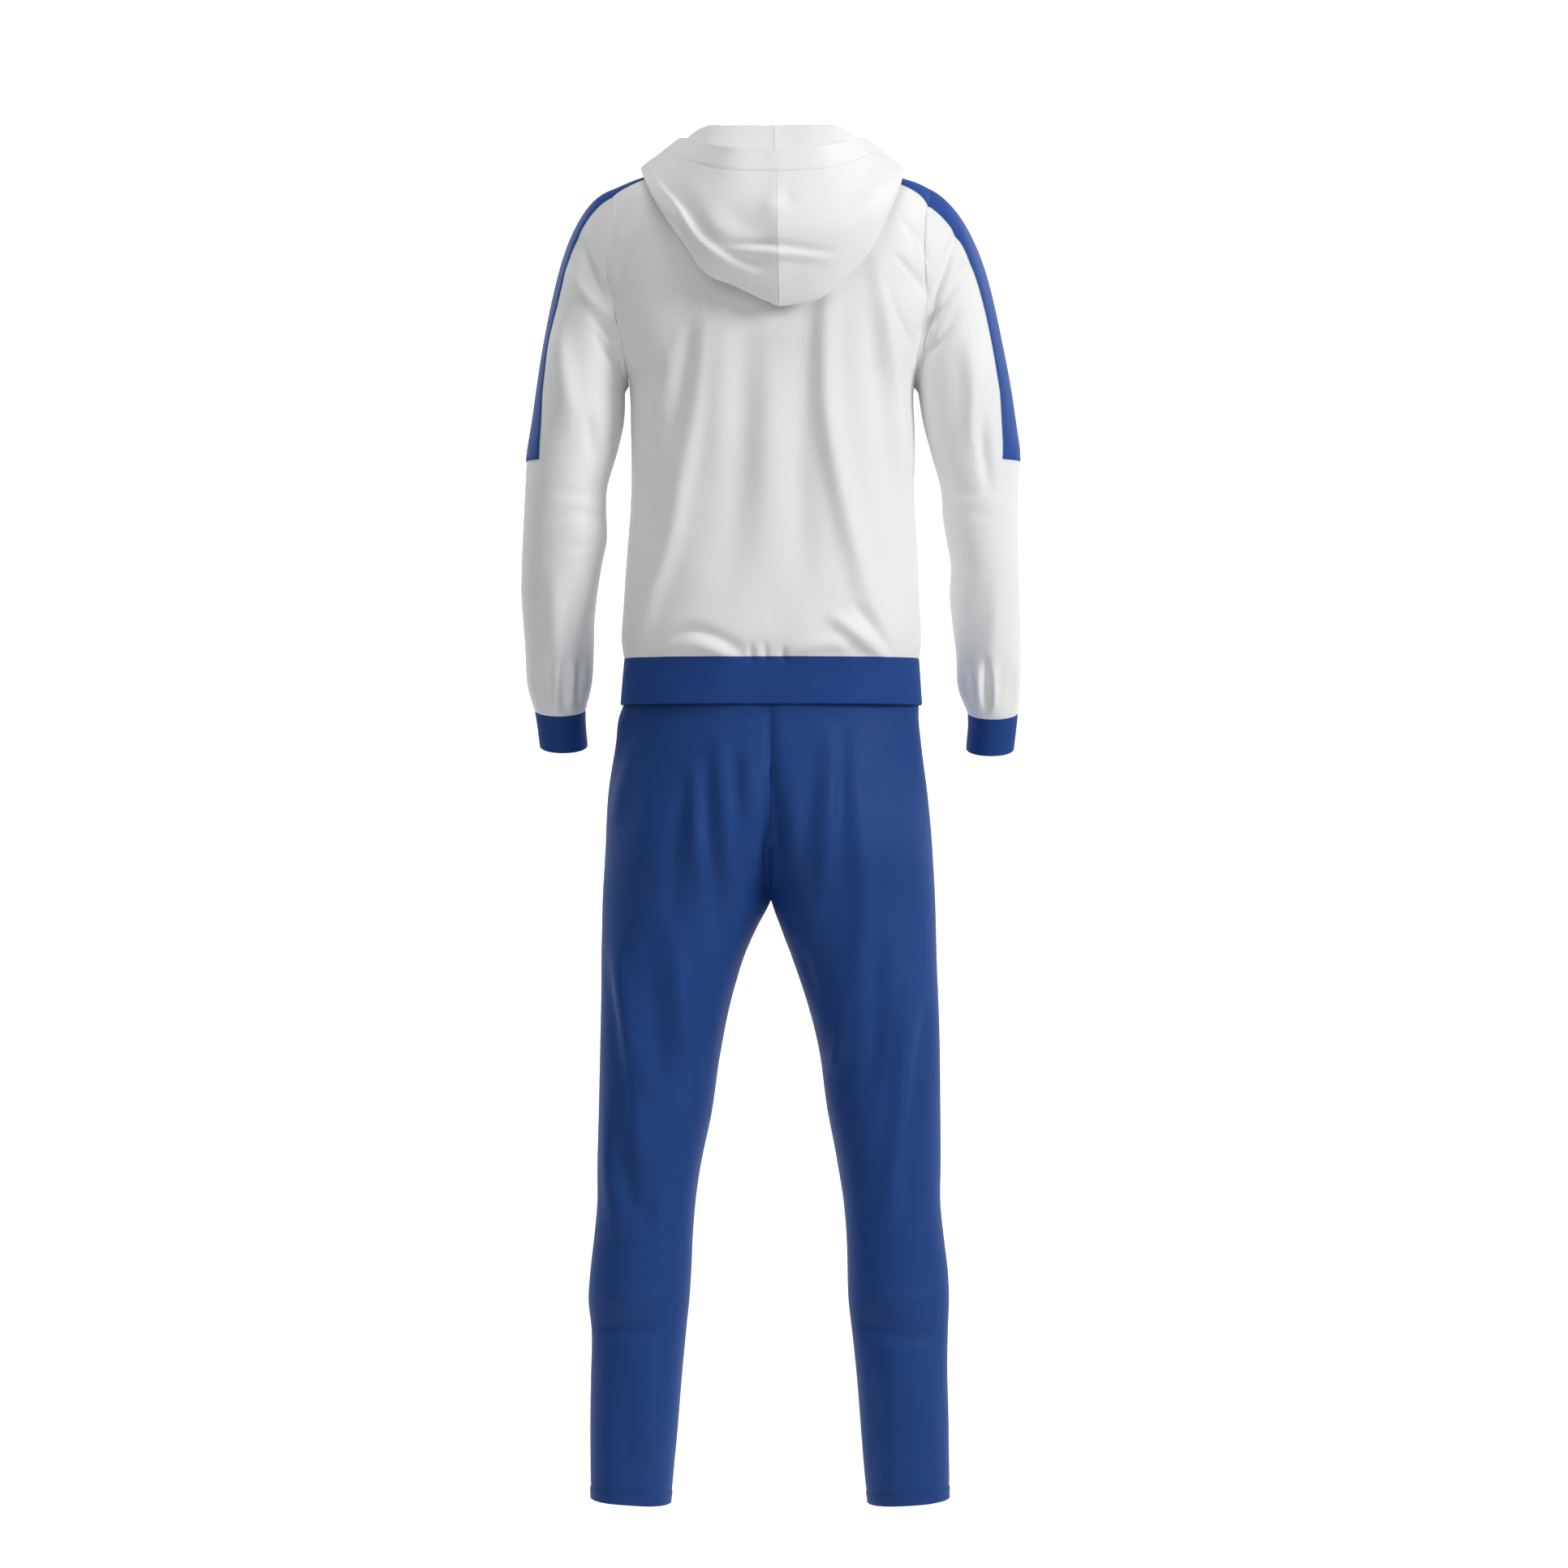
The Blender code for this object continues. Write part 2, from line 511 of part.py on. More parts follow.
def grid_faces(points, columns, offset, wrapped):
    """Triangles of a grid, each quad cut along its shorter diagonal."""
    rows = len(points) // columns
    faces = []
    for r in range(rows - 1):
        for c in range(columns if wrapped else columns - 1):
            d = (c + 1) % columns
            corner = (r * columns + c, r * columns + d, (r + 1) * columns + d,
                      (r + 1) * columns + c)
            a, b, e, f = (offset + index for index in corner)
            first = np.linalg.norm(points[corner[0]] - points[corner[2]])
            second = np.linalg.norm(points[corner[1]] - points[corner[3]])
            faces += [(a, b, e), (a, e, f)] if first < second else [(a, b, f), (b, e, f)]
    return faces


def rim_faces(rows, columns, wrapped):
    """Faces that join the outer grid to the inner one along the free edges."""
    inner = rows * columns
    loops = []
    if wrapped:
        loops.append([(c, True) for c in range(columns)])
        loops.append([((rows - 1) * columns + c, False) for c in range(columns)])
    else:
        bottom = list(range(columns))
        right = [r * columns + columns - 1 for r in range(1, rows)]
        top = [(rows - 1) * columns + c for c in range(columns - 2, -1, -1)]
        left = [r * columns for r in range(rows - 2, 0, -1)]
        loops.append([(index, True) for index in bottom + right + top + left])
    faces = []
    for loop in loops:
        for (a, forward), (b, _) in zip(loop, loop[1:] + loop[:1]):
            face = (b, a, inner + a, inner + b)
            faces.append(face if forward else face[::-1])
    return faces


def add_solid(name, outer, inner, wrapped, colour, roughness):
    """Closed wall between an outer and an inner grid, as one named object."""
    if wrapped:
        outer = outer[:, :-1]
        inner = inner[:, :-1]
    rows, columns = outer.shape[:2]
    outside, inside = outer.reshape(-1, 3), inner.reshape(-1, 3)
    faces = grid_faces(outside, columns, 0, wrapped)
    faces += [face[::-1] for face in grid_faces(inside, columns, rows * columns, wrapped)]
    faces += rim_faces(rows, columns, wrapped)
    points = np.concatenate((outside, inside)) * MM
    mesh = bpy.data.meshes.new(name)
    mesh.from_pydata(points.tolist(), [], faces)
    mesh.validate()
    mesh.shade_smooth()
    mesh.set_sharp_from_angle(angle=np.radians(50))
    piece = bpy.data.objects.new(name, mesh)
    bpy.context.scene.collection.objects.link(piece)
    piece.data.materials.append(cloth_material(name, colour, roughness))
    return piece


def cloth_material(name, colour, roughness):
    material = bpy.data.materials.new(name)
    material.use_nodes = True
    shader = material.node_tree.nodes["Principled BSDF"]
    shader.inputs["Base Color"].default_value = (*COLOURS[colour], 1.0)
    shader.inputs["Roughness"].default_value = roughness
    shader.inputs["Metallic"].default_value = 0.0
    return material


def sew(name, grid, outward, colour, wall=WALL, wrapped=False):
    outer = drawn_back(grid, grid, wrapped)
    inner = drawn_back(grid, grid - outward * wall, wrapped)
    add_solid(name, outer, inner, wrapped, colour, 0.7)


def with_folds(grids, group):
    """The grids moved out by the folds of one group of pieces."""
    outward = weld(grids, np.zeros(len(grids)))
    return [grid + out * relief(grid, out, group)[..., None]
            for grid, out in zip(grids, outward)]


def stripe_grid(grids, hand):
    """The stripe's share of the body panels and the sleeve, from the neck to the elbow."""
    back, front, arm = grids
    neck = len(ACROSS) - 1 - NECK_STEPS
    last = slice(-1 - ROWS_STRIPE, None)
    if hand == "left":
        behind = back[last, :neck + 1][:, ::-1]
        before = front[last, -1 - neck:]
        across = np.concatenate((before[:-1], behind[::-1]))
    else:
        behind = back[last, -1 - neck:]
        before = front[last, :neck + 1][:, ::-1]
        across = np.concatenate((behind[:-1], before[::-1]))
    middle = ARM_ROWS
    down_to_end = slice(1, CAP_ROWS + ROWS_TO_STRIPE_END + 1)
    on_arm = arm[::-1][down_to_end, middle - ROWS_STRIPE:middle + ROWS_STRIPE + 1]
    return np.concatenate((np.swapaxes(across, 0, 1), on_arm))[::-1]


def build_top():
    back, front = body_panel("back"), body_panel("front")
    sleeves = [sleeve(armhole(back, front, hand), hand) for hand in ("left", "right")]
    hoods = [hood_half(neckline(back, front, hand), hand) for hand in ("left", "right")]
    shares = np.concatenate((-ACROSS[:0:-1], ACROSS))
    band = np.concatenate((hem_band_ring(shares[::-1], "back"),
                           hem_band_ring(shares, "front")[:, 1:]), axis=1)
    cuffs = [cuff(hand) for hand in ("left", "right")]
    body = with_folds([back, front, *sleeves, band, *cuffs], "top")
    grids, outward = seam_directions(body + with_folds(hoods, "hood"), TOP_GROUPS)
    names = ("jacket_back", "jacket_front", "sleeve_left", "sleeve_right", "hem_band",
             "cuff_left", "cuff_right", "hood_left", "hood_right")
    for name, grid, out in zip(names, grids, outward):
        tube = name.startswith(("sleeve", "hem", "cuff"))
        rib = name.startswith(("hem", "cuff"))
        sew(name, grid, out, "rib" if rib else "white", RIB_WALL if rib else WALL, tube)
    for hand, arm in (("left", 2), ("right", 3)):
        points = stripe_grid([grids[0], grids[1], grids[arm]], hand)
        out = stripe_grid([outward[0], outward[1], outward[arm]], hand)
        lower = points + out * SEAM_GAP
        upper = lower + out * STRIPE_WALL
        add_solid("stripe_" + hand, upper, lower, False, "stripe", 0.6)


def build_trousers():
    names, panels = [], []
    for side, hand in (("back", "left"), ("front", "left"), ("front", "right"), ("back", "right")):
        names.append(f"trouser_{side}_{hand}")
        panels.append(trouser_panel(side, hand, TROUSER_ROWS))
    rings = {}
    for side in ("back", "front"):
        for hand in ("left", "right"):
            rings[side, hand] = trouser_panel(side, hand, (WAIST_TOP, WAIST))
    order = (("back", "left"), ("back", "right"), ("front", "right"), ("front", "left"))
    parts = [rings[order[0]]] + [rings[key][:, 1:] for key in order[1:]]
    band = np.concatenate(parts, axis=1)
    grids, outward = seam_directions(with_folds(panels + [band], "legs"), TROUSER_GROUPS)
    for name, grid, out in zip(names, grids, outward):
        sew(name, grid, out, "trousers")
    sew("waistband", grids[-1], outward[-1], "trousers", RIB_WALL, True)


def main():
    for item in list(bpy.data.objects):
        bpy.data.objects.remove(item)
    build_top()
    build_trousers()


main()
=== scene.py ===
"""Looks of the hooded tracksuit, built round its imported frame.

Each piece of cloth is a thin closed wall on the form of its solid, with a finer mesh and the folds,
seams and hems that the worn cloth shows. Sizes in the tables are millimetres in the row frame.
"""
import math

import bpy
import numpy as np
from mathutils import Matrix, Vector


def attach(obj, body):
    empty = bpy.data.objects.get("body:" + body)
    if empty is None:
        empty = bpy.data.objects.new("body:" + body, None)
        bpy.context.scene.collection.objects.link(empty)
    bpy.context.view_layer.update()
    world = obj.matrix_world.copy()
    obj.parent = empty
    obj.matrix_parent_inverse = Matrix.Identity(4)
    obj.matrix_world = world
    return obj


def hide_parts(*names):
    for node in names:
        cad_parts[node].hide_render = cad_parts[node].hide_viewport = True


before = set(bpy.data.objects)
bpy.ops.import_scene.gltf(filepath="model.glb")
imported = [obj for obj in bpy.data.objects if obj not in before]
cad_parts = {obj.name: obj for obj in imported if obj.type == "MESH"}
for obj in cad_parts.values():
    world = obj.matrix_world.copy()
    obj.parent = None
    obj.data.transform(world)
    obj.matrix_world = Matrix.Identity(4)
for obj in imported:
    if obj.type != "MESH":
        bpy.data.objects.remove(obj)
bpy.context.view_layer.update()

MM = 0.001

# Thickness of each cloth, the stripe's lift off the cloth below it, and the gap at a seam.
JERSEY, RIB, STRIPE_CLOTH = 1.5, 2.2, 1.0
STRIPE_LIFT, SEAM_GAP = 0.25, 0.3

# The top's edges, the height in which it rounds over to the shoulder seam, the roundness of its rings,
# and its depth for its half width.
HEM, HEM_BOTTOM, ARMPIT = -597.0, -653.0, -262.0
ROUND, TORSO_POWER, CHEST_DEPTH = 110.0, 2.5, 0.63
# The neckline's share of the half width, the angles at which it cuts the rounding, and its bend.
NECK_SHARE, NECK_BACK, NECK_FRONT, NECK_CURVE = 0.44, 57.0, 22.0, 1.7
SHOULDER_WIDTH = 197.0
# The armhole's share at which a panel's columns all stand in their places beside the armhole.
ARMHOLE_BLEND = 0.3

# The stripe, its width behind the shoulder seam at the shoulder and at the elbow, how far it slides
# forwards over the sleeve's cap, the share of its turn that it has there, and its thinner edges.
STRIPE_WIDTH, STRIPE_END = 60.0, -354.0
STRIPE_BACK = {"left": (26.0, 50.0), "right": (36.0, 58.0)}
STRIPE_SLIDE = {"left": 0.0, "right": 3.0}
STRIPE_AT_CAP, STRIPE_THINNING, STRIPE_EDGE = 0.6, 0.45, 1.5

# The sleeve, and how its cap leaves the armhole and arrives at the arm.
SLEEVE_START, SLEEVE_END, CUFF_END = -272.0, -659.0, -704.0
ELBOW, RIGHT_HANGS_LOWER = -450.0, 3.5
CAP_LEAVE, CAP_ARRIVE, CAP_SLOPE, CAP_LEAN = 0.18, 0.55, -0.42, 0.15
CAP_TURNS_IN, CAP_STEEPENS = 0.75, 0.8

# The trousers, whose hems dip at the inner side. The two halves overlap at the seam above the crotch.
WAIST_TOP, WAIST, SEAT, CROTCH, LEG_HEM = -560.0, -595.0, -715.0, -893.0, -1629.0
LEG_POWER, HEM_DIP, DIP_TOP, HEM_ROWS_TOP = 0.92, 6.0, -1500.0, -1597.0
OVERLAP, OVERLAP_WIDTH, OVERLAP_TOP, OVERLAP_RAMP, OVERLAP_END = 1.8, 3.0, -810.0, 30.0, 4.0
GATHERS, GATHER_HEIGHT = 52, 1.3

# The hood's lift off the shoulders, and the least depth and the radius of the form it clears.
HOOD_LIFT, HOOD_LIFT_RAMP = 6.0, 0.22
LEAST_DEPTH, FORM_RADIUS = 0.3, 100.0

# Turned hems: widths, the step where the second layer ends, and the stitched groove there.
HOOD_HEM, LEG_HEM_WIDTH = 30.0, 16.0
HEM_STEP, GROOVE, GROOVE_WIDTH = 1.2, 0.9, 1.8
LEG_STITCH_ROWS = (0, 5)

# How deep the cloth is drawn in at its seams.
CROSS_SEAM, SIDE_SEAM, HOOD_SEAM, LEG_SEAM = 0.9, 0.35, 0.8, 0.8

# Directions that agree less than this stay apart at a seam. Points this close are one point.
SHARP_CREASE, SAME_POINT = 0.6, 0.02
EDGE_ROUNDING, SHARP_ANGLE = 0.45, 65

# How many steps of mesh each stretch of cloth takes.
NECK_STEPS, SIDE_STEPS = 38, 46
ROWS_BELOW_ARM, ROWS_BESIDE_ARM, ROWS_ROUND, ROWS_STRIPE = 100, 40, 40, 10
ARM_ROWS = ROWS_BESIDE_ARM + ROWS_ROUND + ROWS_STRIPE
CAP_ROWS, ROWS_TO_STRIPE_END, ROWS_TO_CUFF = 52, 22, 88
BAND_ROWS, CUFF_ROWS, HOOD_ROWS, HOOD_LINE_STEPS = 24, 20, 200, 24
LEG_STEPS, LEG_ROWS, LEG_HEM_ROWS, WAISTBAND_ROWS = 50, 250, 14, 14

# The shoulder seam, then rings of the top, an arm and the legs by height: half widths at the wearer's
# left and right, or the inner and outer edge of a limb, and depths behind and in front.
SHOULDER = (("x", "height"), (
    (0, 10), (60, 10), (88, 8), (120, 4), (157, -5), (180, -12.5), (197, -20)))
BODY = (("z", "left", "right", "back", "front", "armhole"), (
    (10, 196, 195, 106, 108, 0.52), (-24, 196, 195, 110, 111, 0.52),
    (-60, 191, 188, 114, 113, 0.52), (-100, 195, 187, 117, 115, 0.53),
    (-140, 198, 189, 118, 117, 0.53), (-178, 190, 195, 118, 118, 0.50),
    (-215, 183, 186, 117, 118, 0.43), (-240, 178, 180, 116, 118, 0.31),
    (ARMPIT, 175, 176, 115, 118, 0.0), (-325, 172.7, 177, 112, 115, 0.0),
    (-409, 173.5, 177, 108, 111, 0.0), (-482, 178, 181.5, 110, 111, 0.0),
    (-533, 181.4, 184, 116, 113, 0.0), (-577, 183.3, 186, 121, 115, 0.0),
    (HEM, 180.5, 183.7, 118, 113, 0.0), (-625, 182.5, 185, 119, 114, 0.0),
    (HEM_BOTTOM, 185, 187, 121, 116, 0.0)))
ARM = (("z", "left_in", "left_out", "right_in", "right_out", "half_depth", "y", "dip"), (
    (-265, 179.5, 288, 180.5, 294, 66, 2, 0.0), (-305, 181, 293.5, 187, 299.5, 64, 4, 0.0),
    (-345, 189.5, 299.5, 197, 305, 61, 5, 0.0), (-390, 202, 302, 208.7, 303.5, 58, 6, 0.0),
    (-421, 202.5, 303.5, 211, 303, 56, 6, 0.02), (-452, 202.4, 305, 216, 303.8, 54, 4, 0.08),
    (-477, 207.5, 306, 220.7, 305, 53, 0, 0.14), (-520, 214, 307, 220, 307, 50, -9, 0.22),
    (-555, 217.5, 305.5, 224.5, 308.5, 47, -18, 0.25), (-585, 218.8, 304, 229, 310, 45, -26, 0.26),
    (-632, 223, 301.4, 232.8, 310, 42, -39, 0.27), (SLEEVE_END, 230, 294.7, 243.8, 307.5, 33, -47, 0.28),
    (CUFF_END, 229.6, 288.9, 243.2, 303, 29, -60, 0.30)))
LEGS = (("z", "left_out", "left_in", "right_out", "right_in", "back", "front"), (
    (WAIST_TOP, 163, 0, 163, 0, 103, 98), (WAIST, 168, 0, 168, 0, 108, 103),
    (-625, 175, 0, 176, 0, 112, 106), (HEM_BOTTOM, 181.1, 0, 182.9, 0, 116, 110),
    (-668, 187, 0, 183, 0, 117, 109), (-700, 191, 0, 186, 0, 121, 109),
    (-758, 199.4, 0, 192.5, 0, 124, 107), (-825, 203.5, 0, 198.6, 0, 121, 103),
    (CROTCH, 207, 0.3, 202, 0.3, 103, 98), (-926, 207.5, 16, 203, 12, 99, 96),
    (-960, 208.3, 31, 204.2, 25, 97, 95), (-1006, 208.7, 46.3, 206, 40, 94, 93),
    (-1085, 210, 62.6, 207.5, 60, 89, 90), (-1152, 212.2, 73, 208, 69, 84, 86),
    (-1216, 213.5, 85.4, 208, 81, 79, 82), (-1268, 214, 92.5, 208.5, 89.4, 74, 78),
    (-1308, 218, 96, 213, 92.6, 71, 76), (-1352, 223, 98, 218.3, 94.3, 69, 74),
    (-1385, 225.2, 100, 220, 95.8, 66, 73), (-1421, 222, 103.7, 219, 100, 67, 71),
    (-1477, 223, 109.5, 218, 105.5, 70, 67), (-1545, 223.4, 115.5, 219.5, 111.3, 65, 62),
    (HEM_ROWS_TOP, 223.3, 121, 220.4, 115.5, 58, 57), (LEG_HEM, 223, 124, 220.5, 119, 54, 54)))

# Lines round one half of the hood, from centre back (share 0) to the throat (share 1), in the order
# that the cloth takes from the neck seam to the rim.
PLACES = ("share", "x", "y", "z")
HOOD_STAND = (PLACES, (
    (0, -3, 57, 22), (0.2, 42, 50, 24), (0.35, 70, 33, 28), (0.5, 94, 0, 27), (0.7, 76, -62, 0),
    (0.85, 45, -94, -28), (1, 5, -108, -47)))
HOOD_TOP = (PLACES, (
    (0, -4, 52, 50), (0.2, 50, 46, 51), (0.35, 80, 28, 52.5), (0.5, 102, -4, 42), (0.7, 84, -64, 14),
    (0.85, 50, -98, -15), (1, 8, -111, -34)))
HOOD_INNER = (PLACES, (
    (0, -5, 112, -60), (0.2, 62, 102, -52), (0.35, 102, 74, -28), (0.5, 124, 16, 12),
    (0.6, 120, -32, 6), (0.7, 102, -74, -12), (0.85, 60, -110, -36), (1, 9, -119, -42)))
HOOD_BOTTOM = {
    "left": (PLACES, (
        (0, -10, 140, -177), (0.12, 40, 140, -153.5), (0.25, 83, 132, -132), (0.33, 101, 118, -99),
        (0.41, 120, 98, -66), (0.47, 139, 62, -28), (0.53, 150, 22, 6), (0.6, 145, -24, 4),
        (0.7, 124, -80, -36), (0.85, 74, -124, -56), (1, 10, -127, -54))),
    "right": (PLACES, (
        (0, 10, 140, -177), (0.12, 58, 138, -167), (0.25, 91, 132, -138), (0.33, 115, 120, -113),
        (0.41, 133, 98, -74), (0.47, 148, 64, -33), (0.53, 156, 24, 4), (0.6, 150, -24, 4),
        (0.7, 124, -80, -36), (0.85, 74, -124, -56), (1, 10, -127, -54)))}
HOOD_OUTER = (PLACES, (
    (0, -8, 184, -92), (0.2, 78, 170, -84), (0.35, 124, 134, -56), (0.43, 144, 98, -28),
    (0.5, 156, 46, 2), (0.6, 153, -22, 4), (0.7, 132, -88, -20), (0.85, 80, -130, -42),
    (1, 11, -133, -46)))
HOOD_RIM = (PLACES, (
    (0, -6, 150, 11), (0.2, 55, 137, 16), (0.35, 88, 92, 29), (0.43, 104, 50, 39),
    (0.5, 115, 8, 42), (0.7, 100, -74, 12), (0.85, 60, -112, -16), (1, 9, -124, -33)))

# Folds on each side of the top, the trousers and the hood. A row is the half width, the height (a
# trough is negative), how far the crest leans towards one flank (-1 to 1), and the route of (x, z).
TOP_BACK = (
    (17, 8.8, 0.3, ((81, -188), (91, -297), (106, -376), (121, -455), (146, -524), (165, -588))),
    (9, -4.2, 0, ((97, -200), (104, -262), (118, -335))),
    (22, 4.8, 0, ((61, -149), (61, -226), (66, -346))),
    (12, 5.1, -0.3, ((121, -227), (128, -271), (143, -312))),
    (20, -4.5, 0, ((27, -228), (38, -360), (47, -494))),
    (18, 2.9, 0, ((3, -184), (6, -340), (8, -494))),
    (18, -4.0, 0, ((-42, -189), (-36, -360), (-38, -519))),
    (15, 11.0, -0.1, ((-72, -150), (-66, -198), (-67, -297), (-84, -395), (-106, -484), (-131, -569))),
    (16, -6.0, 0, ((-119, -113), (-124, -173), (-131, -246), (-139, -306), (-150, -395), (-165, -469),
        (-183, -568))),
    (11, 5.8, 0.2, ((-126, -112), (-141, -197), (-156, -296), (-165, -370))),
    (5, -2.7, 0, ((-136, -136), (-156, -186), (-173, -220))),
    (5, -6.0, 0, ((-150, -108), (-172, -130), (-190, -155))),
    (5, -5.0, 0, ((-160, -62), (-178, -86), (-188, -113))),
    (12, 3.2, 0, ((188, -36), (195, -90), (197, -140))),
    (12, 3.2, 0, ((-188, -36), (-192, -90), (-190, -140))),
    (3, 1.9, 0, ((186, -48), (194, -90), (199, -135))),
    (8, -4.8, 0, ((157, -85), (181, -115), (189, -146))),
    (8, -6.5, 0, ((141, -583), (116, -571), (91, -566), (57, -578), (34, -593))),
    (9, 8.0, 0, ((132, -593), (91, -581), (52, -593))),
    (4, -3.5, 0, ((24, -584), (22, -604))),
    (4, -3.2, 0, ((8, -581), (5, -604))),
    (4, -3.5, 0, ((-15, -586), (-17, -604))),
    (9, 7.0, 0, ((-22, -590), (-72, -581), (-91, -587))),
    (9, 12.0, 0, ((-77, -551), (-106, -573), (-136, -593))),
    (7, -8.0, 0, ((-106, -538), (-126, -564), (-139, -588))),
    (8, -7.6, 0, ((232, -87), (220, -131), (192, -167))),
    (9, 6.5, 0, ((243, -126), (222, -157), (195, -182))),
    (6, -6.2, 0, ((217, -177), (187, -212))),
    (6, -5.6, 0, ((212, -202), (185, -241))),
    (14, 6.7, 0.2, ((258, -192), (253, -241), (243, -302))),
    (8, -3.5, 0, ((222, -302), (215, -356))),
    (5.5, -8.6, 0, ((-226, -78), (-212, -125), (-197, -170), (-194, -190))),
    (6, -9.0, 0, ((-238, -118), (-216, -157), (-196, -186), (-183, -212), (-177, -246))),
    (6, -6.0, 0, ((-230, -175), (-206, -209), (-182, -230))),
    (14, 8.4, -0.2, ((-242, -212), (-247, -270), (-247, -332))),
    (9, -7.0, 0, ((-262, -251), (-257, -322), (-267, -391))),
    (7, -1.4, 0, ((206, -390), (236, -398), (262, -392))),
    (7, -1.5, 0, ((204, -424), (240, -420), (270, -430))),
    (7, -1.2, 0, ((204, -452), (230, -462), (252, -458))),
    (7, -1.0, 0, ((210, -484), (240, -480))),
    (12, 4.5, 0, ((262, -500), (264, -560), (258, -610))),
    (7, -1.4, 0, ((-212, -388), (-242, -397), (-268, -390))),
    (7, -1.4, 0, ((-214, -424), (-248, -419), (-276, -428))),
    (7, -1.2, 0, ((-218, -456), (-246, -465))),
    (7, -1.0, 0, ((-223, -488), (-252, -482))),
    (12, 4.5, 0, ((-276, -500), (-274, -560), (-268, -615))),
    (5, -6.6, 0, ((234, -600), (238, -656))),
    (5, 4.9, 0, ((243, -606), (247, -656))),
    (5, -6.6, 0, ((253, -598), (256, -656))),
    (5, 4.5, 0, ((263, -610), (265, -656))),
    (5, -6.4, 0, ((274, -602), (274, -656))),
    (5, -6.4, 0, ((285, -608), (284, -656))),
    (5, -5.2, 0, ((-244, -602), (-250, -658))),
    (5, 4.9, 0, ((-255, -608), (-258, -658))),
    (5, -5.6, 0, ((-264, -598), (-267, -658))),
    (5, 4.5, 0, ((-274, -610), (-275, -658))),
    (5, -4.9, 0, ((-285, -603), (-285, -658))),
    (5, -4.5, 0, ((-297, -608), (-296, -658))),
)
TOP_FRONT = (
    (20, 6.4, 0.2, ((70, -190), (86, -330), (120, -520))),
    (18, -5.6, 0, ((20, -240), (32, -420), (40, -540))),
    (20, 6.4, -0.2, ((-84, -200), (-78, -340), (-118, -540))),
    (17, -5.6, 0, ((-128, -150), (-140, -300), (-160, -470))),
    (13, 4.8, 0.2, ((132, -120), (124, -230), (140, -360))),
    (9, -3.8, 0, ((108, -560), (66, -574), (30, -592))),
    (9, 4.8, 0, ((-40, -588), (-84, -578), (-120, -590))),
    (7, -3.8, 0, ((226, -120), (208, -160), (186, -190))),
    (7, -3.8, 0, ((-228, -130), (-206, -172), (-184, -200))),
    (12, 4.8, 0, ((256, -230), (250, -330))),
    (12, 4.8, 0, ((-250, -220), (-258, -340))),
    (8, -5.1, 0, ((208, -410), (244, -424), (286, -414))),
    (8, -4.8, 0, ((210, -448), (250, -442), (284, -452))),
    (8, -5.1, 0, ((-214, -406), (-250, -422), (-290, -412))),
    (8, -4.8, 0, ((-220, -446), (-256, -440), (-290, -450))),
    (6, -3.5, 0, ((246, -596), (248, -650))),
    (6, -3.5, 0, ((268, -600), (266, -650))),
    (6, -3.5, 0, ((-258, -598), (-262, -652))),
    (6, -3.5, 0, ((-280, -600), (-280, -652))),
)
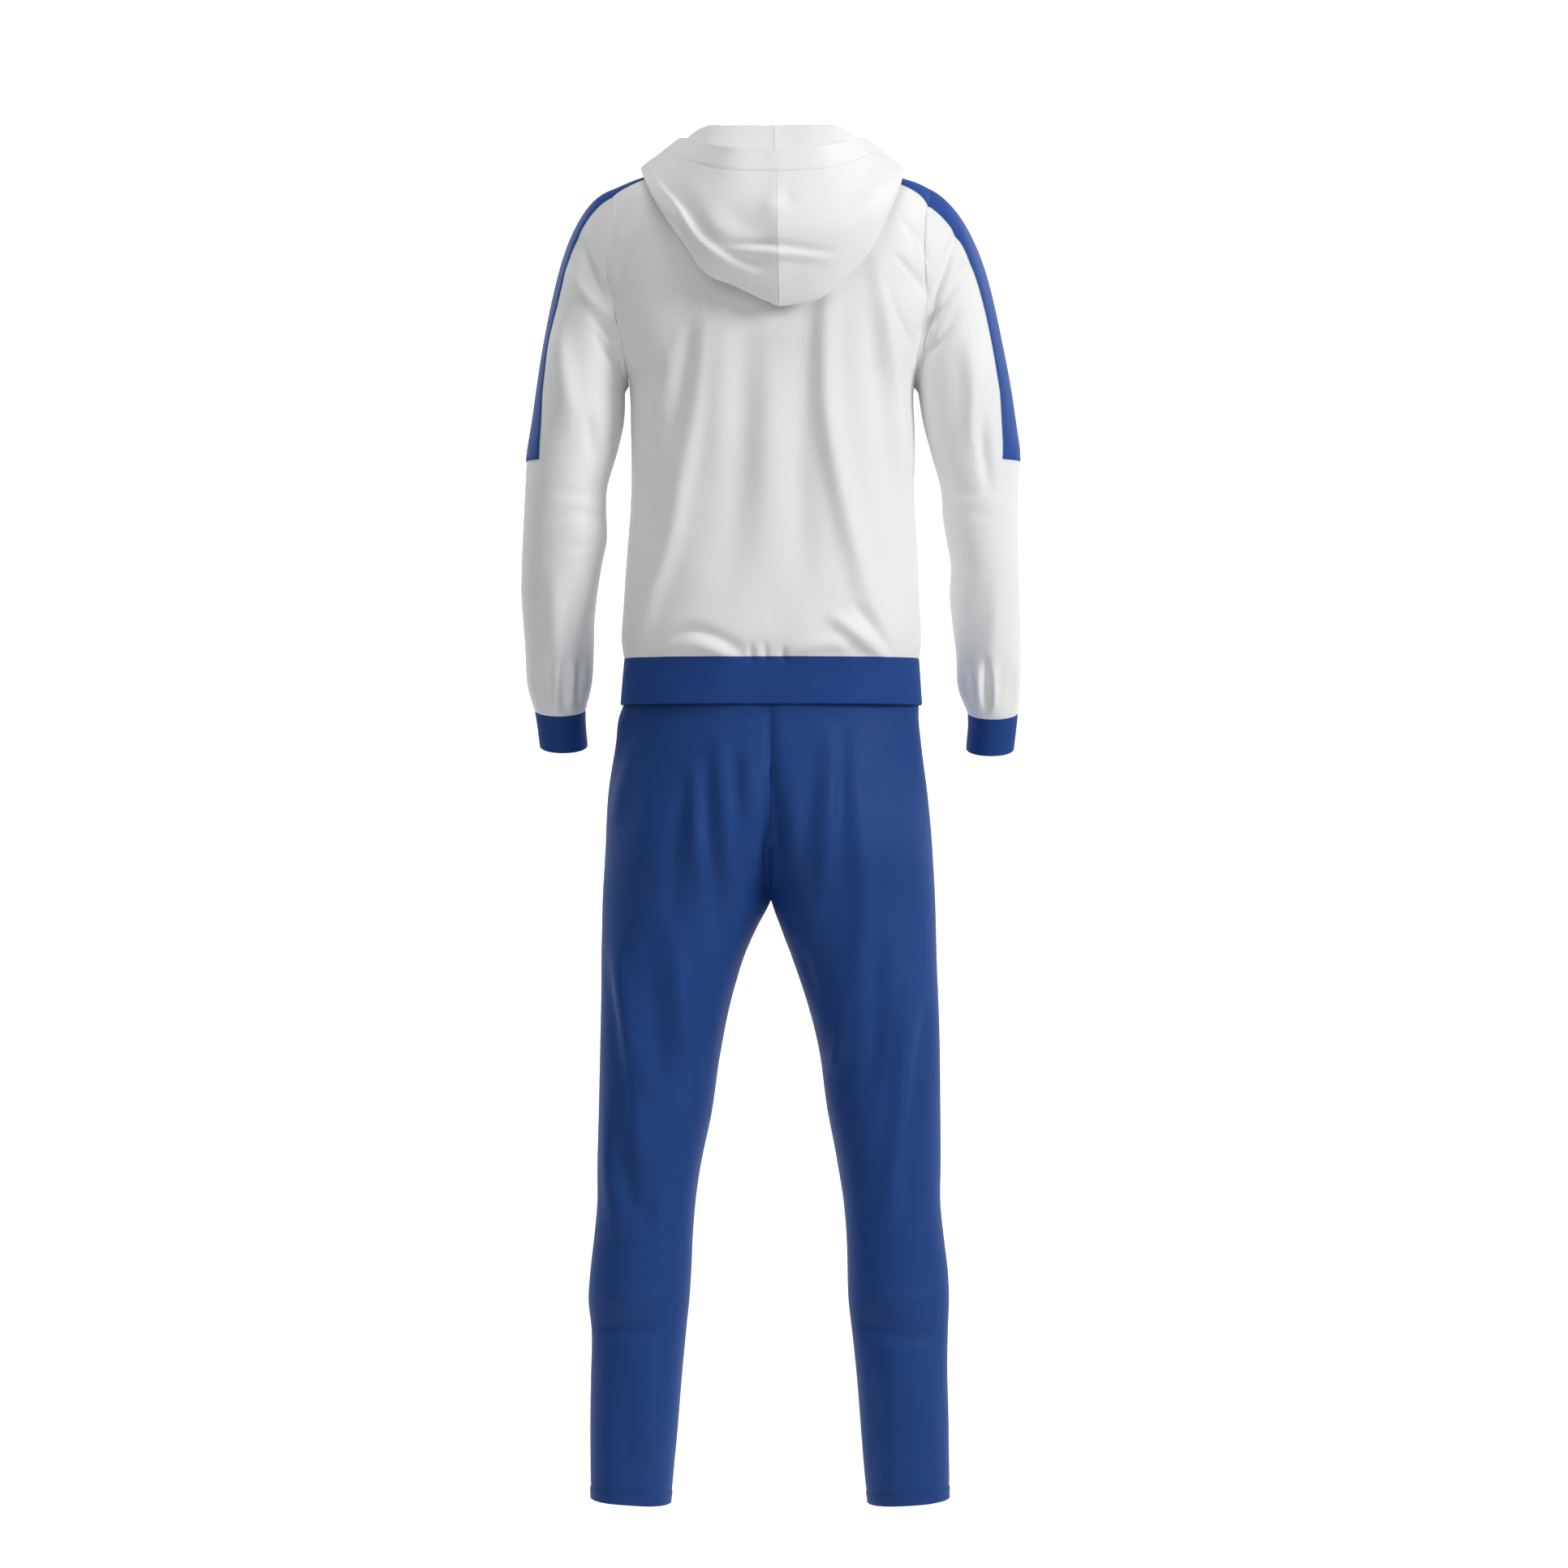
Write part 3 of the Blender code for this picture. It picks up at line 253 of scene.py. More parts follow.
LEGS_BACK = (
    (9, -6.0, 0, ((2, -657), (0, -731), (-4, -792), (-3, -836))),
    (13, -8.5, -0.45, ((2, -750), (2, -820), (0, -880), (-6, -930))),
    (13, 5.8, 0, ((-30, -770), (-36, -850), (-52, -950))),
    (10.3, 6.4, 0, ((91, -731), (90, -816), (79, -883))),
    (9.2, -6.4, 0, ((79, -725), (72, -836), (62, -934))),
    (9.2, 5.2, 0, ((61, -698), (56, -782), (46, -890))),
    (8.05, -4.5, 0, ((42, -711), (38, -782))),
    (8.05, 4.2, 0, ((29, -715), (25, -799))),
    (10.3, -5.7, 0, ((100, -748), (112, -836), (120, -917))),
    (11.5, 5.7, 0, ((110, -945), (107, -1020), (93, -1105))),
    (10.3, -5.2, 0, ((97, -969), (80, -1054))),
    (11.5, 6.8, 0.2, ((188, -946), (179, -1005), (169, -1090))),
    (9.2, -5.2, 0, ((200, -970), (193, -1038), (179, -1141))),
    (16.1, -7.1, 0, ((148, -936), (138, -1054), (128, -1122))),
    (8.05, -4.2, 0, ((167, -663), (174, -691))),
    (10.3, 4.9, 0, ((165, -697), (183, -765), (191, -800))),
    (11.5, 5.7, 0, ((197, -1132), (197, -1216), (187, -1290))),
    (10.3, -5.2, 0, ((184, -1131), (174, -1231), (163, -1282))),
    (10.3, 5.2, 0, ((167, -1131), (160, -1215))),
    (9, -4.3, 0, ((150, -1247), (150, -1291))),
    (11, -7.2, 0, ((213, -1416), (167, -1416), (136, -1412))),
    (14, 5.4, 0, ((208, -1374), (170, -1380), (128, -1374))),
    (20, -4.3, 0, ((174, -1432), (176, -1530), (174, -1626))),
    (10.3, 5.9, 0, ((-71, -691), (-73, -748), (-66, -850), (-59, -917))),
    (9.2, -5.7, 0, ((-88, -691), (-85, -765), (-81, -850))),
    (9.2, -5.2, 0, ((-55, -715), (-42, -799), (-36, -867))),
    (10.3, 6.4, 0, ((-97, -715), (-113, -884), (-106, -985))),
    (11.5, -5.9, 0, ((-130, -952), (-127, -1054), (-117, -1122))),
    (13.8, 6.8, -0.2, ((-172, -987), (-161, -1089), (-157, -1158))),
    (10.3, -5.2, 0, ((-192, -1022), (-179, -1090), (-171, -1158))),
    (8.05, -4.9, 0, ((-36, -952), (-52, -1013))),
    (9.2, 4.9, 0, ((-86, -1027), (-80, -1084), (-69, -1101))),
    (11.5, 5.7, 0, ((-160, -1131), (-151, -1216), (-146, -1272))),
    (10.3, -4.9, 0, ((-177, -1132), (-167, -1216), (-165, -1279))),
    (11, -7.2, 0, ((-107, -1411), (-154, -1421), (-198, -1421))),
    (14, 5.4, 0, ((-116, -1374), (-160, -1382), (-204, -1378))),
    (20, -4.3, 0, ((-119, -1432), (-124, -1530), (-121, -1616))),
)
LEGS_FRONT = (
    (12, 6.3, 0, ((100, -700), (96, -850), (110, -1000))),
    (10, -5.4, 0, ((70, -740), (60, -850), (72, -960))),
    (12, 6.3, 0, ((-96, -690), (-100, -860), (-116, -1010))),
    (10, -5.4, 0, ((-60, -740), (-52, -840), (-70, -950))),
    (9, -5.4, 0, ((16, -850), (54, -880), (100, -880))),
    (9, -5.4, 0, ((-14, -852), (-50, -886), (-96, -884))),
    (12, 5.4, 0, ((168, -1000), (160, -1150))),
    (12, 5.4, 0, ((-166, -1010), (-156, -1160))),
    (12, -6.3, 0, ((120, -1300), (164, -1312), (206, -1300))),
    (12, -6.3, 0, ((-118, -1302), (-160, -1312), (-200, -1302))),
    (13, 5.4, 0, ((150, -1470), (170, -1560))),
    (13, 5.4, 0, ((-144, -1470), (-166, -1560))),
)
HOOD_BACK = (
    (6, 5.0, 0, ((50, -114), (-8, -116), (-72, -122))),
    (4, -5.5, 0, ((50, -106), (-8, -107), (-72, -115))),
    (7, -2.5, 0, ((42, -127), (-8, -129), (-62, -129))),
    (8.5, -7.0, -0.6, ((134, -18), (110, -50), (94, -76), (79, -97), (52, -117), (13, -135))),
    (16, -3.1, 0, ((61, -62), (30, -84), (-7, -101))),
    (9, -2.6, 0, ((-12, -50), (-30, -50))),
    (11, 2.4, 0, ((12, -58), (-12, -64))),
    (11, 3.6, 0, ((-140, -20), (-112, -58), (-86, -92))),
)
FOLDS = {"top": (("back", TOP_BACK), ("front", TOP_FRONT)),
         "legs": (("back", LEGS_BACK), ("front", LEGS_FRONT)),
         "hood": (("back", HOOD_BACK),)}

# Creases on the back of the hood, whose flanks meet in a line, in the same columns.
HOOD_CREASES = (
    (30, 5.0, 0, ((-6, -30), (-7, -60), (-9, -120), (-11, -180))),
    (12, 4.0, 0, ((146, -14), (112, -57), (90, -92), (58, -119), (18, -141))),
)

# Folds fade where the cloth turns away, towards their ends, and past their reach, in half widths.
FACES_AWAY, FADE, HEIGHT_AT_ENDS, TAPER, REACH = 0.1, 0.5, 0.3, 0.8, 4.5

# Slow swells that knit cloth keeps between its folds: height, then the stretch for one radian
# across, up and through the garment, and where the wave starts.
SWELLS = ((0.55, 34, 190, 60, 0.3), (0.40, -21, 120, 45, 1.7), (0.28, 13, 70, -33, 4.1),
          (0.20, 9, -52, 21, 2.2), (0.22, 60, 24, 30, 5.0))

# Pieces of one group share their directions even where they meet sharply: back and front with the
# band, each sleeve with its cuff, the hood halves, each leg, the waistband.
GROUPS_OF_TOP = (0, 0, 1, 2, 0, 1, 2, 3, 3)
GROUPS_OF_TROUSERS = (0, 0, 1, 1, 2)


def read(table, name, at):
    """Smooth value of a named column where the table's first column equals `at`."""
    names, rows = table
    data = np.array(sorted(rows), dtype=float)
    keys = data[:, 0]
    values = data[:, names.index(name)]
    slopes = np.gradient(values, keys)
    at = np.clip(at, keys[0], keys[-1])
    low = np.clip(np.searchsorted(keys, at) - 1, 0, len(keys) - 2)
    step = keys[low + 1] - keys[low]
    s = (at - keys[low]) / step
    rise = s * s * (3 - 2 * s)
    start = s * (1 - s) ** 2 * step * slopes[low]
    end = s * s * (s - 1) * step * slopes[low + 1]
    return values[low] * (1 - rise) + values[low + 1] * rise + start + end


def steps(count, close_first=0, close_last=0, closeness=0.35):
    """Fractions from 0 to 1, closer together beside a seam or hem at either end."""
    size = np.ones(count)
    size[:close_first] = closeness
    size[count - close_last:] = closeness
    return np.concatenate(([0], np.cumsum(size))) / size.sum()


def spread(stops, parts):
    """Values from stop to stop, each stretch cut by its own fractions."""
    cut = [a + (b - a) * part[:-1] for a, b, part in zip(stops, stops[1:], parts)]
    return np.concatenate(cut + [np.array([stops[-1]])])


def shares_across():
    """Columns from the middle of a body panel to its side, even along the cloth: below the arm, where
    the cloth turns into the side seam, and beside the armhole, where it stops short of it."""
    angle = np.linspace(0, np.pi / 2, 3000)
    x = np.sin(angle) ** (2 / TORSO_POWER)
    depth = CHEST_DEPTH * np.cos(angle) ** (2 / TORSO_POWER)
    along = np.concatenate(([0], np.cumsum(np.hypot(np.diff(x), np.diff(depth)))))
    first = np.interp(NECK_SHARE, x, along)
    cut = steps(SIDE_STEPS, close_last=5)
    neck = np.linspace(0, NECK_SHARE, NECK_STEPS + 1)
    side = np.interp(first + (along[-1] - first) * cut, along, x)
    return (np.concatenate((neck, side[1:-1], (1.0,))),
            np.concatenate((neck, NECK_SHARE + (1 - NECK_SHARE) * cut[1:])))


ACROSS, ACROSS_ABOVE = shares_across()
PANEL_SHARES, SHARES_ABOVE = [np.concatenate((-half[:0:-1], half))
                              for half in (ACROSS, ACROSS_ABOVE)]


def edge_width(z, share):
    """Half width of the top on the side that a share, positive at the wearer's left, lies on."""
    return np.where(share >= 0, read(BODY, "left", z), read(BODY, "right", z))


def depth_share(z, share):
    """How much of the full depth is left at a share of the half width."""
    armhole = np.clip(read(BODY, "armhole", z), 0, 1)
    reach = (1 - armhole ** TORSO_POWER) ** (1 / TORSO_POWER)
    inside = np.clip(1 - (np.abs(share) * reach) ** TORSO_POWER, 0, 1)
    return inside ** (1 / TORSO_POWER)


def torso_point(share, z, round_angle, side):
    x = share * edge_width(z, share)
    depth = read(BODY, side, z) * depth_share(z, share) * np.cos(np.radians(round_angle))
    y = depth if side == "back" else -depth
    return np.stack(np.broadcast_arrays(x, y, z), axis=-1)


def body_column(below, share, side):
    """One column of a body panel, from the hem up to the shoulder seam or neckline. It stands at one
    share of the half width below the arm and at another beside the armhole."""
    top = read(SHOULDER, "height", abs(share) * SHOULDER_WIDTH)
    neck = NECK_BACK if side == "back" else NECK_FRONT
    end_angle = neck + (90.0 - neck) * min(abs(share) / NECK_SHARE, 1.0) ** NECK_CURVE
    lean = np.clip(share / NECK_SHARE, -1, 1)
    left, right = STRIPE_BACK["left"][0], STRIPE_BACK["right"][0]
    stripe = (left + right) / 2 + lean * (left - right) / 2
    if side == "front":
        stripe = STRIPE_WIDTH - stripe
    full = read(BODY, side, top) * depth_share(top, share)
    stripe_angle = end_angle - np.degrees(np.arcsin(min(stripe / full, 0.95)))
    straight = spread((HEM, ARMPIT, top - ROUND),
                      (steps(ROWS_BELOW_ARM, close_first=6), steps(ROWS_BESIDE_ARM)))[:-1]
    angles = spread((0.0, stripe_angle, end_angle), (steps(ROWS_ROUND), steps(ROWS_STRIPE)))
    z = np.concatenate((straight, top - ROUND * (1 - np.sin(np.radians(angles)))))
    angles = np.concatenate((np.zeros(len(straight)), angles))
    places = below + (share - below) * np.clip(read(BODY, "armhole", z) / ARMHOLE_BLEND, 0, 1)
    return torso_point(places, z, angles, side)


def body_panel(side):
    """Panel grid: rows from the hem up, columns against the clock as seen from above."""
    columns = [body_column(below, above, side) for below, above in zip(PANEL_SHARES, SHARES_ABOVE)]
    return np.stack(columns[::-1] if side == "back" else columns, axis=1)


def hem_band_ring(shares, side):
    """The hem band's half at the back or the front, rows upwards."""
    rows = HEM_BOTTOM + (HEM - HEM_BOTTOM) * steps(BAND_ROWS, close_first=3, close_last=4)
    columns = [torso_point(np.full(len(rows), share), rows, 0.0, side) for share in shares]
    return np.stack(columns, axis=1)


def armhole(back, front, hand):
    """Armhole edge from the armpit over the shoulder and back to the armpit."""
    left = hand == "left"
    back_edge = back[ROWS_BELOW_ARM:, 0 if left else -1]
    front_edge = front[ROWS_BELOW_ARM:, -1 if left else 0]
    first, second = (front_edge, back_edge) if left else (back_edge, front_edge)
    return np.concatenate((first, second[-2::-1]))


def arm_angles(z, hand):
    """Angle of each column of a sleeve ring: 0 outwards, 90 backwards, 180 at the body."""
    along = np.clip((z - SLEEVE_START) / (STRIPE_END - SLEEVE_START), 0, 1)
    shoulder, elbow = STRIPE_BACK[hand]
    behind = shoulder + (elbow - shoulder) * (STRIPE_AT_CAP + (1 - STRIPE_AT_CAP) * along)
    radius = read(ARM, "half_depth", z)
    cuts = (steps(ARM_ROWS - ROWS_STRIPE), steps(ROWS_STRIPE))
    back = spread((180.0, np.degrees(behind / radius), 0.0), cuts)
    front = -spread((180.0, np.degrees((STRIPE_WIDTH - behind) / radius), 0.0), cuts)
    first, second = (front, back) if hand == "left" else (back, front)
    return np.radians(np.concatenate((first, second[-2::-1])))


def arm_ring(z, hand):
    """One ring of the sleeve, lower at the back where the arm hangs forwards."""
    sign = 1 if hand == "left" else -1
    inner, outer = read(ARM, hand + "_in", z), read(ARM, hand + "_out", z)
    angle = arm_angles(z, hand)
    x = sign * ((inner + outer) / 2 + (outer - inner) / 2 * np.cos(angle))
    back = read(ARM, "half_depth", z) * np.sin(angle)
    below = np.clip((ELBOW - z) / (ELBOW - SLEEVE_END), 0, 1) if hand == "right" else 0.0
    height = z - back * read(ARM, "dip", z) - below * RIGHT_HANGS_LOWER
    return np.stack((x, read(ARM, "y", z) + back, height), axis=-1)


def sleeve(edge, hand):
    """Sleeve grid, rows from the cuff up to the armhole edge."""
    sign = 1 if hand == "left" else -1
    ring = arm_ring(SLEEVE_START, hand)
    fall = (edge[:, 2].max() - edge[:, 2:]) / np.ptp(edge[:, 2])
    leave = np.concatenate((sign * (1 - CAP_TURNS_IN * fall), 0 * fall,
                            CAP_SLOPE - CAP_STEEPENS * fall), axis=1)
    arrive = np.array((sign * CAP_LEAN, 0.0, -1.0))
    reach = np.linalg.norm(ring - edge, axis=1)[:, None]
    start = edge + leave * reach * CAP_LEAVE
    end = ring - arrive * reach * CAP_ARRIVE
    cap = [(1 - t) ** 3 * edge + 3 * t * (1 - t) ** 2 * start + 3 * t * t * (1 - t) * end + t ** 3 * ring
           for t in steps(CAP_ROWS, close_first=5)[:-1]]
    heights = spread((SLEEVE_START, STRIPE_END, SLEEVE_END),
                     (steps(ROWS_TO_STRIPE_END), steps(ROWS_TO_CUFF, close_last=5)))
    return np.stack(cap + [arm_ring(z, hand) for z in heights])[::-1]


def cuff(hand):
    heights = CUFF_END + (SLEEVE_END - CUFF_END) * steps(CUFF_ROWS, close_first=3, close_last=4)
    return np.stack([arm_ring(z, hand) for z in heights])


def trouser_row(z, side, hand):
    """One row of a trouser panel, from the centre seam or inseam out to the side seam."""
    outer = read(LEGS, hand + "_out", z)
    if z > CROTCH:
        drop = np.clip((SEAT - z) / (SEAT - CROTCH), 0, 1) ** 2
        first = 90.0 + 90.0 * drop
        radius = outer / (1 + abs(np.cos(np.radians(first))) ** LEG_POWER)
        middle = outer - radius
    else:
        first = 180.0
        inner = read(LEGS, hand + "_in", z)
        radius, middle = (outer - inner) / 2, (outer + inner) / 2
    angle = np.radians(first * (1 - steps(LEG_STEPS, close_first=4, close_last=4)))
    x = middle + radius * np.sign(np.cos(angle)) * np.abs(np.cos(angle)) ** LEG_POWER
    y = read(LEGS, side, z) * np.abs(np.sin(angle)) ** LEG_POWER
    near_hem = np.clip((DIP_TOP - z) / (DIP_TOP - LEG_HEM), 0, 1)
    height = z - near_hem * HEM_DIP * (outer - x) / (2 * radius)
    sign = 1 if hand == "left" else -1
    return np.stack((sign * x, y if side == "back" else -y, height), axis=-1)


def trouser_panel(side, hand, heights):
    """Panel grid, rows upwards, columns against the clock as seen from above."""
    grid = np.stack([trouser_row(z, side, hand) for z in sorted(heights)])
    outward_first = (side == "back") == (hand == "left")
    return grid[:, ::-1] if outward_first else grid


def curve_point(table, share, hand):
    """Point of a hood line on one half. Both halves start from the same place at the centre."""
    sign = 1 if hand == "left" else -1
    x = sign * read(table, "x", share)
    if table is not HOOD_BOTTOM[hand] and hand == "right":
        x = x + 2 * read(table, "x", 0) * (1 - share) ** 2
    return np.array((x, read(table, "y", share), read(table, "z", share)))


def smooth_line(points, per_step):
    """A few points made a smooth line with `per_step` points from each to the next."""
    points = np.array(points, dtype=float)
    slopes = np.gradient(points, axis=0) if len(points) > 2 else np.diff(points, axis=0)[[0, 0]]
    slopes[0] = points[1] - points[0]
    slopes[-1] = points[-1] - points[-2]
    s = np.linspace(0, 1, per_step, endpoint=False)[:, None]
    rise = s * s * (3 - 2 * s)
    line = [a * (1 - rise) + b * rise + s * (1 - s) ** 2 * leave + s * s * (s - 1) * arrive
            for a, b, leave, arrive in zip(points, points[1:], slopes, slopes[1:])]
    return np.concatenate(line + [points[-1:]])


def lengths_along(line):
    """Length from the start of a line, or of each column of a grid, to each of its points."""
    size = np.linalg.norm(np.diff(line, axis=0), axis=-1)
    return np.concatenate((np.zeros((1,) + size.shape[1:]), np.cumsum(size, axis=0)))


def clear_of_torso(points, lift):
    """Moves points that lie on or in the top's form out to `lift` above it."""
    x, y, z = points[..., 0], points[..., 1], points[..., 2]
    top = read(SHOULDER, "height", np.abs(x))
    depth = np.where(y > 0, read(BODY, "back", z), read(BODY, "front", z))
    depth = depth * np.maximum(depth_share(z, x / edge_width(z, x)), LEAST_DEPTH)
    rise = np.maximum(z - (top - ROUND), 0) / ROUND
    level = np.sqrt((y / depth) ** 2 + rise ** 2)
    scale = np.maximum(1 + lift / FORM_RADIUS, level) / np.maximum(level, 0.01)
    moved = points.copy()
    moved[..., 1] = y * scale
    moved[..., 2] = np.where(rise > 0, (top - ROUND) + (z - (top - ROUND)) * scale, z)
    return moved


def neckline(back, front, hand):
    """Neck edge of one half, from centre back to centre front."""
    middle = len(ACROSS) - 1
    step = -1 if hand == "left" else 1
    back_edge = back[-1, middle::step][:NECK_STEPS + 1]
    front_edge = front[-1, middle::-step][:NECK_STEPS + 1]
    return np.concatenate((back_edge, front_edge[-2::-1]))


def hood_half(neck, hand):
    """Hood grid, rows from the neck seam to the rim, columns against the clock from above."""
    tables = (HOOD_STAND, HOOD_TOP, HOOD_INNER, HOOD_BOTTOM[hand], HOOD_OUTER, HOOD_RIM)
    places = steps(HOOD_ROWS, close_first=3, close_last=24, closeness=0.45)
    lift = HOOD_LIFT * np.clip(places[1:] / HOOD_LIFT_RAMP, 0, 1)
    columns = []
    for foot, share in zip(neck, np.linspace(0, 1, len(neck))):
        line = smooth_line([foot] + [curve_point(table, share, hand) for table in tables], HOOD_LINE_STEPS)
        length = lengths_along(line)
        column = np.stack([np.interp(places * length[-1], length, line[:, k]) for k in range(3)], axis=1)
        column[1:] = clear_of_torso(column[1:], lift)
        columns.append(column)
    if hand == "left":
        columns = columns[::-1]
    return np.stack(columns, axis=1)


def weld(grids, groups):
    """Outward direction at every point of every grid, shared where grids of a group meet."""
    points, sums = [], []
    for grid, group in zip(grids, groups):
        direction = np.zeros_like(grid)
        face = np.cross(grid[1:, 1:] - grid[:-1, :-1], grid[1:, :-1] - grid[:-1, 1:])
        for rows in (slice(None, -1), slice(1, None)):
            for columns in (slice(None, -1), slice(1, None)):
                direction[rows, columns] += face
        flat = grid.reshape(-1, 3)
        points.append(np.column_stack((flat, np.full(len(flat), group))))
        sums.append(direction.reshape(-1, 3))
    keys = np.round(np.concatenate(points) / SAME_POINT).astype(np.int64)
    _, place = np.unique(keys, axis=0, return_inverse=True)
    place = place.ravel()
    total = np.zeros((place.max() + 1, 3))
    np.add.at(total, place, np.concatenate(sums))
    total = total[place] / np.maximum(np.linalg.norm(total[place], axis=1), 1e-9)[:, None]
    ends = np.cumsum([len(block) for block in points])[:-1]
    return [part.reshape(grid.shape) for part, grid in zip(np.split(total, ends), grids)]


def seam_directions(grids, groups):
    """Directions shared across seams, except where two groups meet in a sharp crease."""
    shared = weld(grids, np.zeros(len(grids)))
    own = weld(grids, groups)
    points, directions = [], []
    for grid, joined, single in zip(grids, shared, own):
        agree = np.sum(joined * single, axis=-1, keepdims=True)
        directions.append(np.where(agree < SHARP_CREASE, single, joined))
        points.append(grid - single * (1 - agree) * SEAM_GAP)
    return points, directions


def relief(grid, outward, group):
    """Height of the folds, creases and swells at each point of a grid."""
    x, y, z = grid[..., 0], grid[..., 1], grid[..., 2]
    height = np.zeros(x.shape)
    for swell, wide, tall, deep, start in SWELLS:
        height += swell * np.sin(x / wide + z / tall + y / deep + start)
    folds = [(side, False, *row) for side, rows in FOLDS[group] for row in rows]
    if group == "hood":
        folds += [("back", True, *row) for row in HOOD_CREASES]
    for side, sharp, half_width, fold_height, lean, route in folds:
        line = smooth_line(route, 6)
        reach = REACH * half_width
        low, high = line.min(axis=0) - reach, line.max(axis=0) + reach
        facing = outward[..., 1] if side == "back" else -outward[..., 1]
        near = (x > low[0]) & (x < high[0]) & (z > low[1]) & (z < high[1]) & (facing > FACES_AWAY)
        if not near.any():
            continue
        px, pz = x[near], z[near]
        best, along, flank = np.full(px.shape, 1e9), np.zeros(px.shape), np.zeros(px.shape)
        for index, (start, end) in enumerate(zip(line, line[1:])):
            dx, dz = end - start
            t = np.clip(((px - start[0]) * dx + (pz - start[1]) * dz) / (dx * dx + dz * dz), 0, 1)
            distance = np.hypot(px - start[0] - t * dx, pz - start[1] - t * dz)
            nearer = distance < best
            best = np.where(nearer, distance, best)
            along = np.where(nearer, (index + t) / (len(line) - 1), along)
            flank = np.where(nearer, np.sign(dx * (pz - start[1]) - dz * (px - start[0])), flank)
        width = half_width * (1 + lean * flank)
        taper = HEIGHT_AT_ENDS + (1 - HEIGHT_AT_ENDS) * np.maximum(np.sin(np.pi * along), 0) ** TAPER
        shape = np.exp(-best / width) if sharp else np.exp(-(best / width) ** 2)
        seen = np.clip((facing[near] - FACES_AWAY) / FADE, 0, 1)
        height[near] += fold_height * taper * seen * shape
    return height


def edge_distances(grid):
    """Distance of every point from each edge of its grid, along the cloth."""
    up = lengths_along(grid)
    across = np.swapaxes(lengths_along(np.swapaxes(grid, 0, 1)), 0, 1)
    return {"foot": up, "head": up[-1] - up, "first": across, "last": across[:, -1:] - across}


def drawn_in(grid, outward, seams, width=3.2):
    """Cloth drawn in beside its seams, each by its own depth."""
    distances = edge_distances(grid)
    depth = [seams[seam] * np.exp(-distances[seam] / width) for seam in seams]
    return grid - outward * np.max(depth, axis=0)[..., None]


def turned_hem(grid, outward, edge, width, raised=0.7):
    """A turned hem: a double layer that ends in the groove of its stitching."""
    distance = edge_distances(grid)[edge]
    height = raised / 2 * (1 - np.tanh((distance - width) / HEM_STEP / 2))
    height = height - GROOVE * np.exp(-((distance - width) / GROOVE_WIDTH) ** 2)
    return grid + outward * height[..., None]


def drawn_back(grid, layer, wrapped):
    """A layer of a grid with each edge drawn back from its seam by half the gap."""
    moved = layer.copy()
    ways = [(grid, moved)]
    if not wrapped:
        ways.append((np.swapaxes(grid, 0, 1), np.swapaxes(moved, 0, 1)))
    for form, target in ways:
        for edge, inside in ((0, 1), (-1, -2)):
            away = form[inside] - form[edge]
            tangent = np.gradient(form[edge], axis=0)
            tangent /= np.linalg.norm(tangent, axis=1)[:, None]
            away -= tangent * np.sum(away * tangent, axis=1)[:, None]
            away /= np.linalg.norm(away, axis=1)[:, None]
            target[edge] += away * SEAM_GAP / 2
    return moved


def placed(name, data):
    """A new object for the data, in the scene."""
    thing = bpy.data.objects.new(name, data)
    bpy.context.scene.collection.objects.link(thing)
    return thing


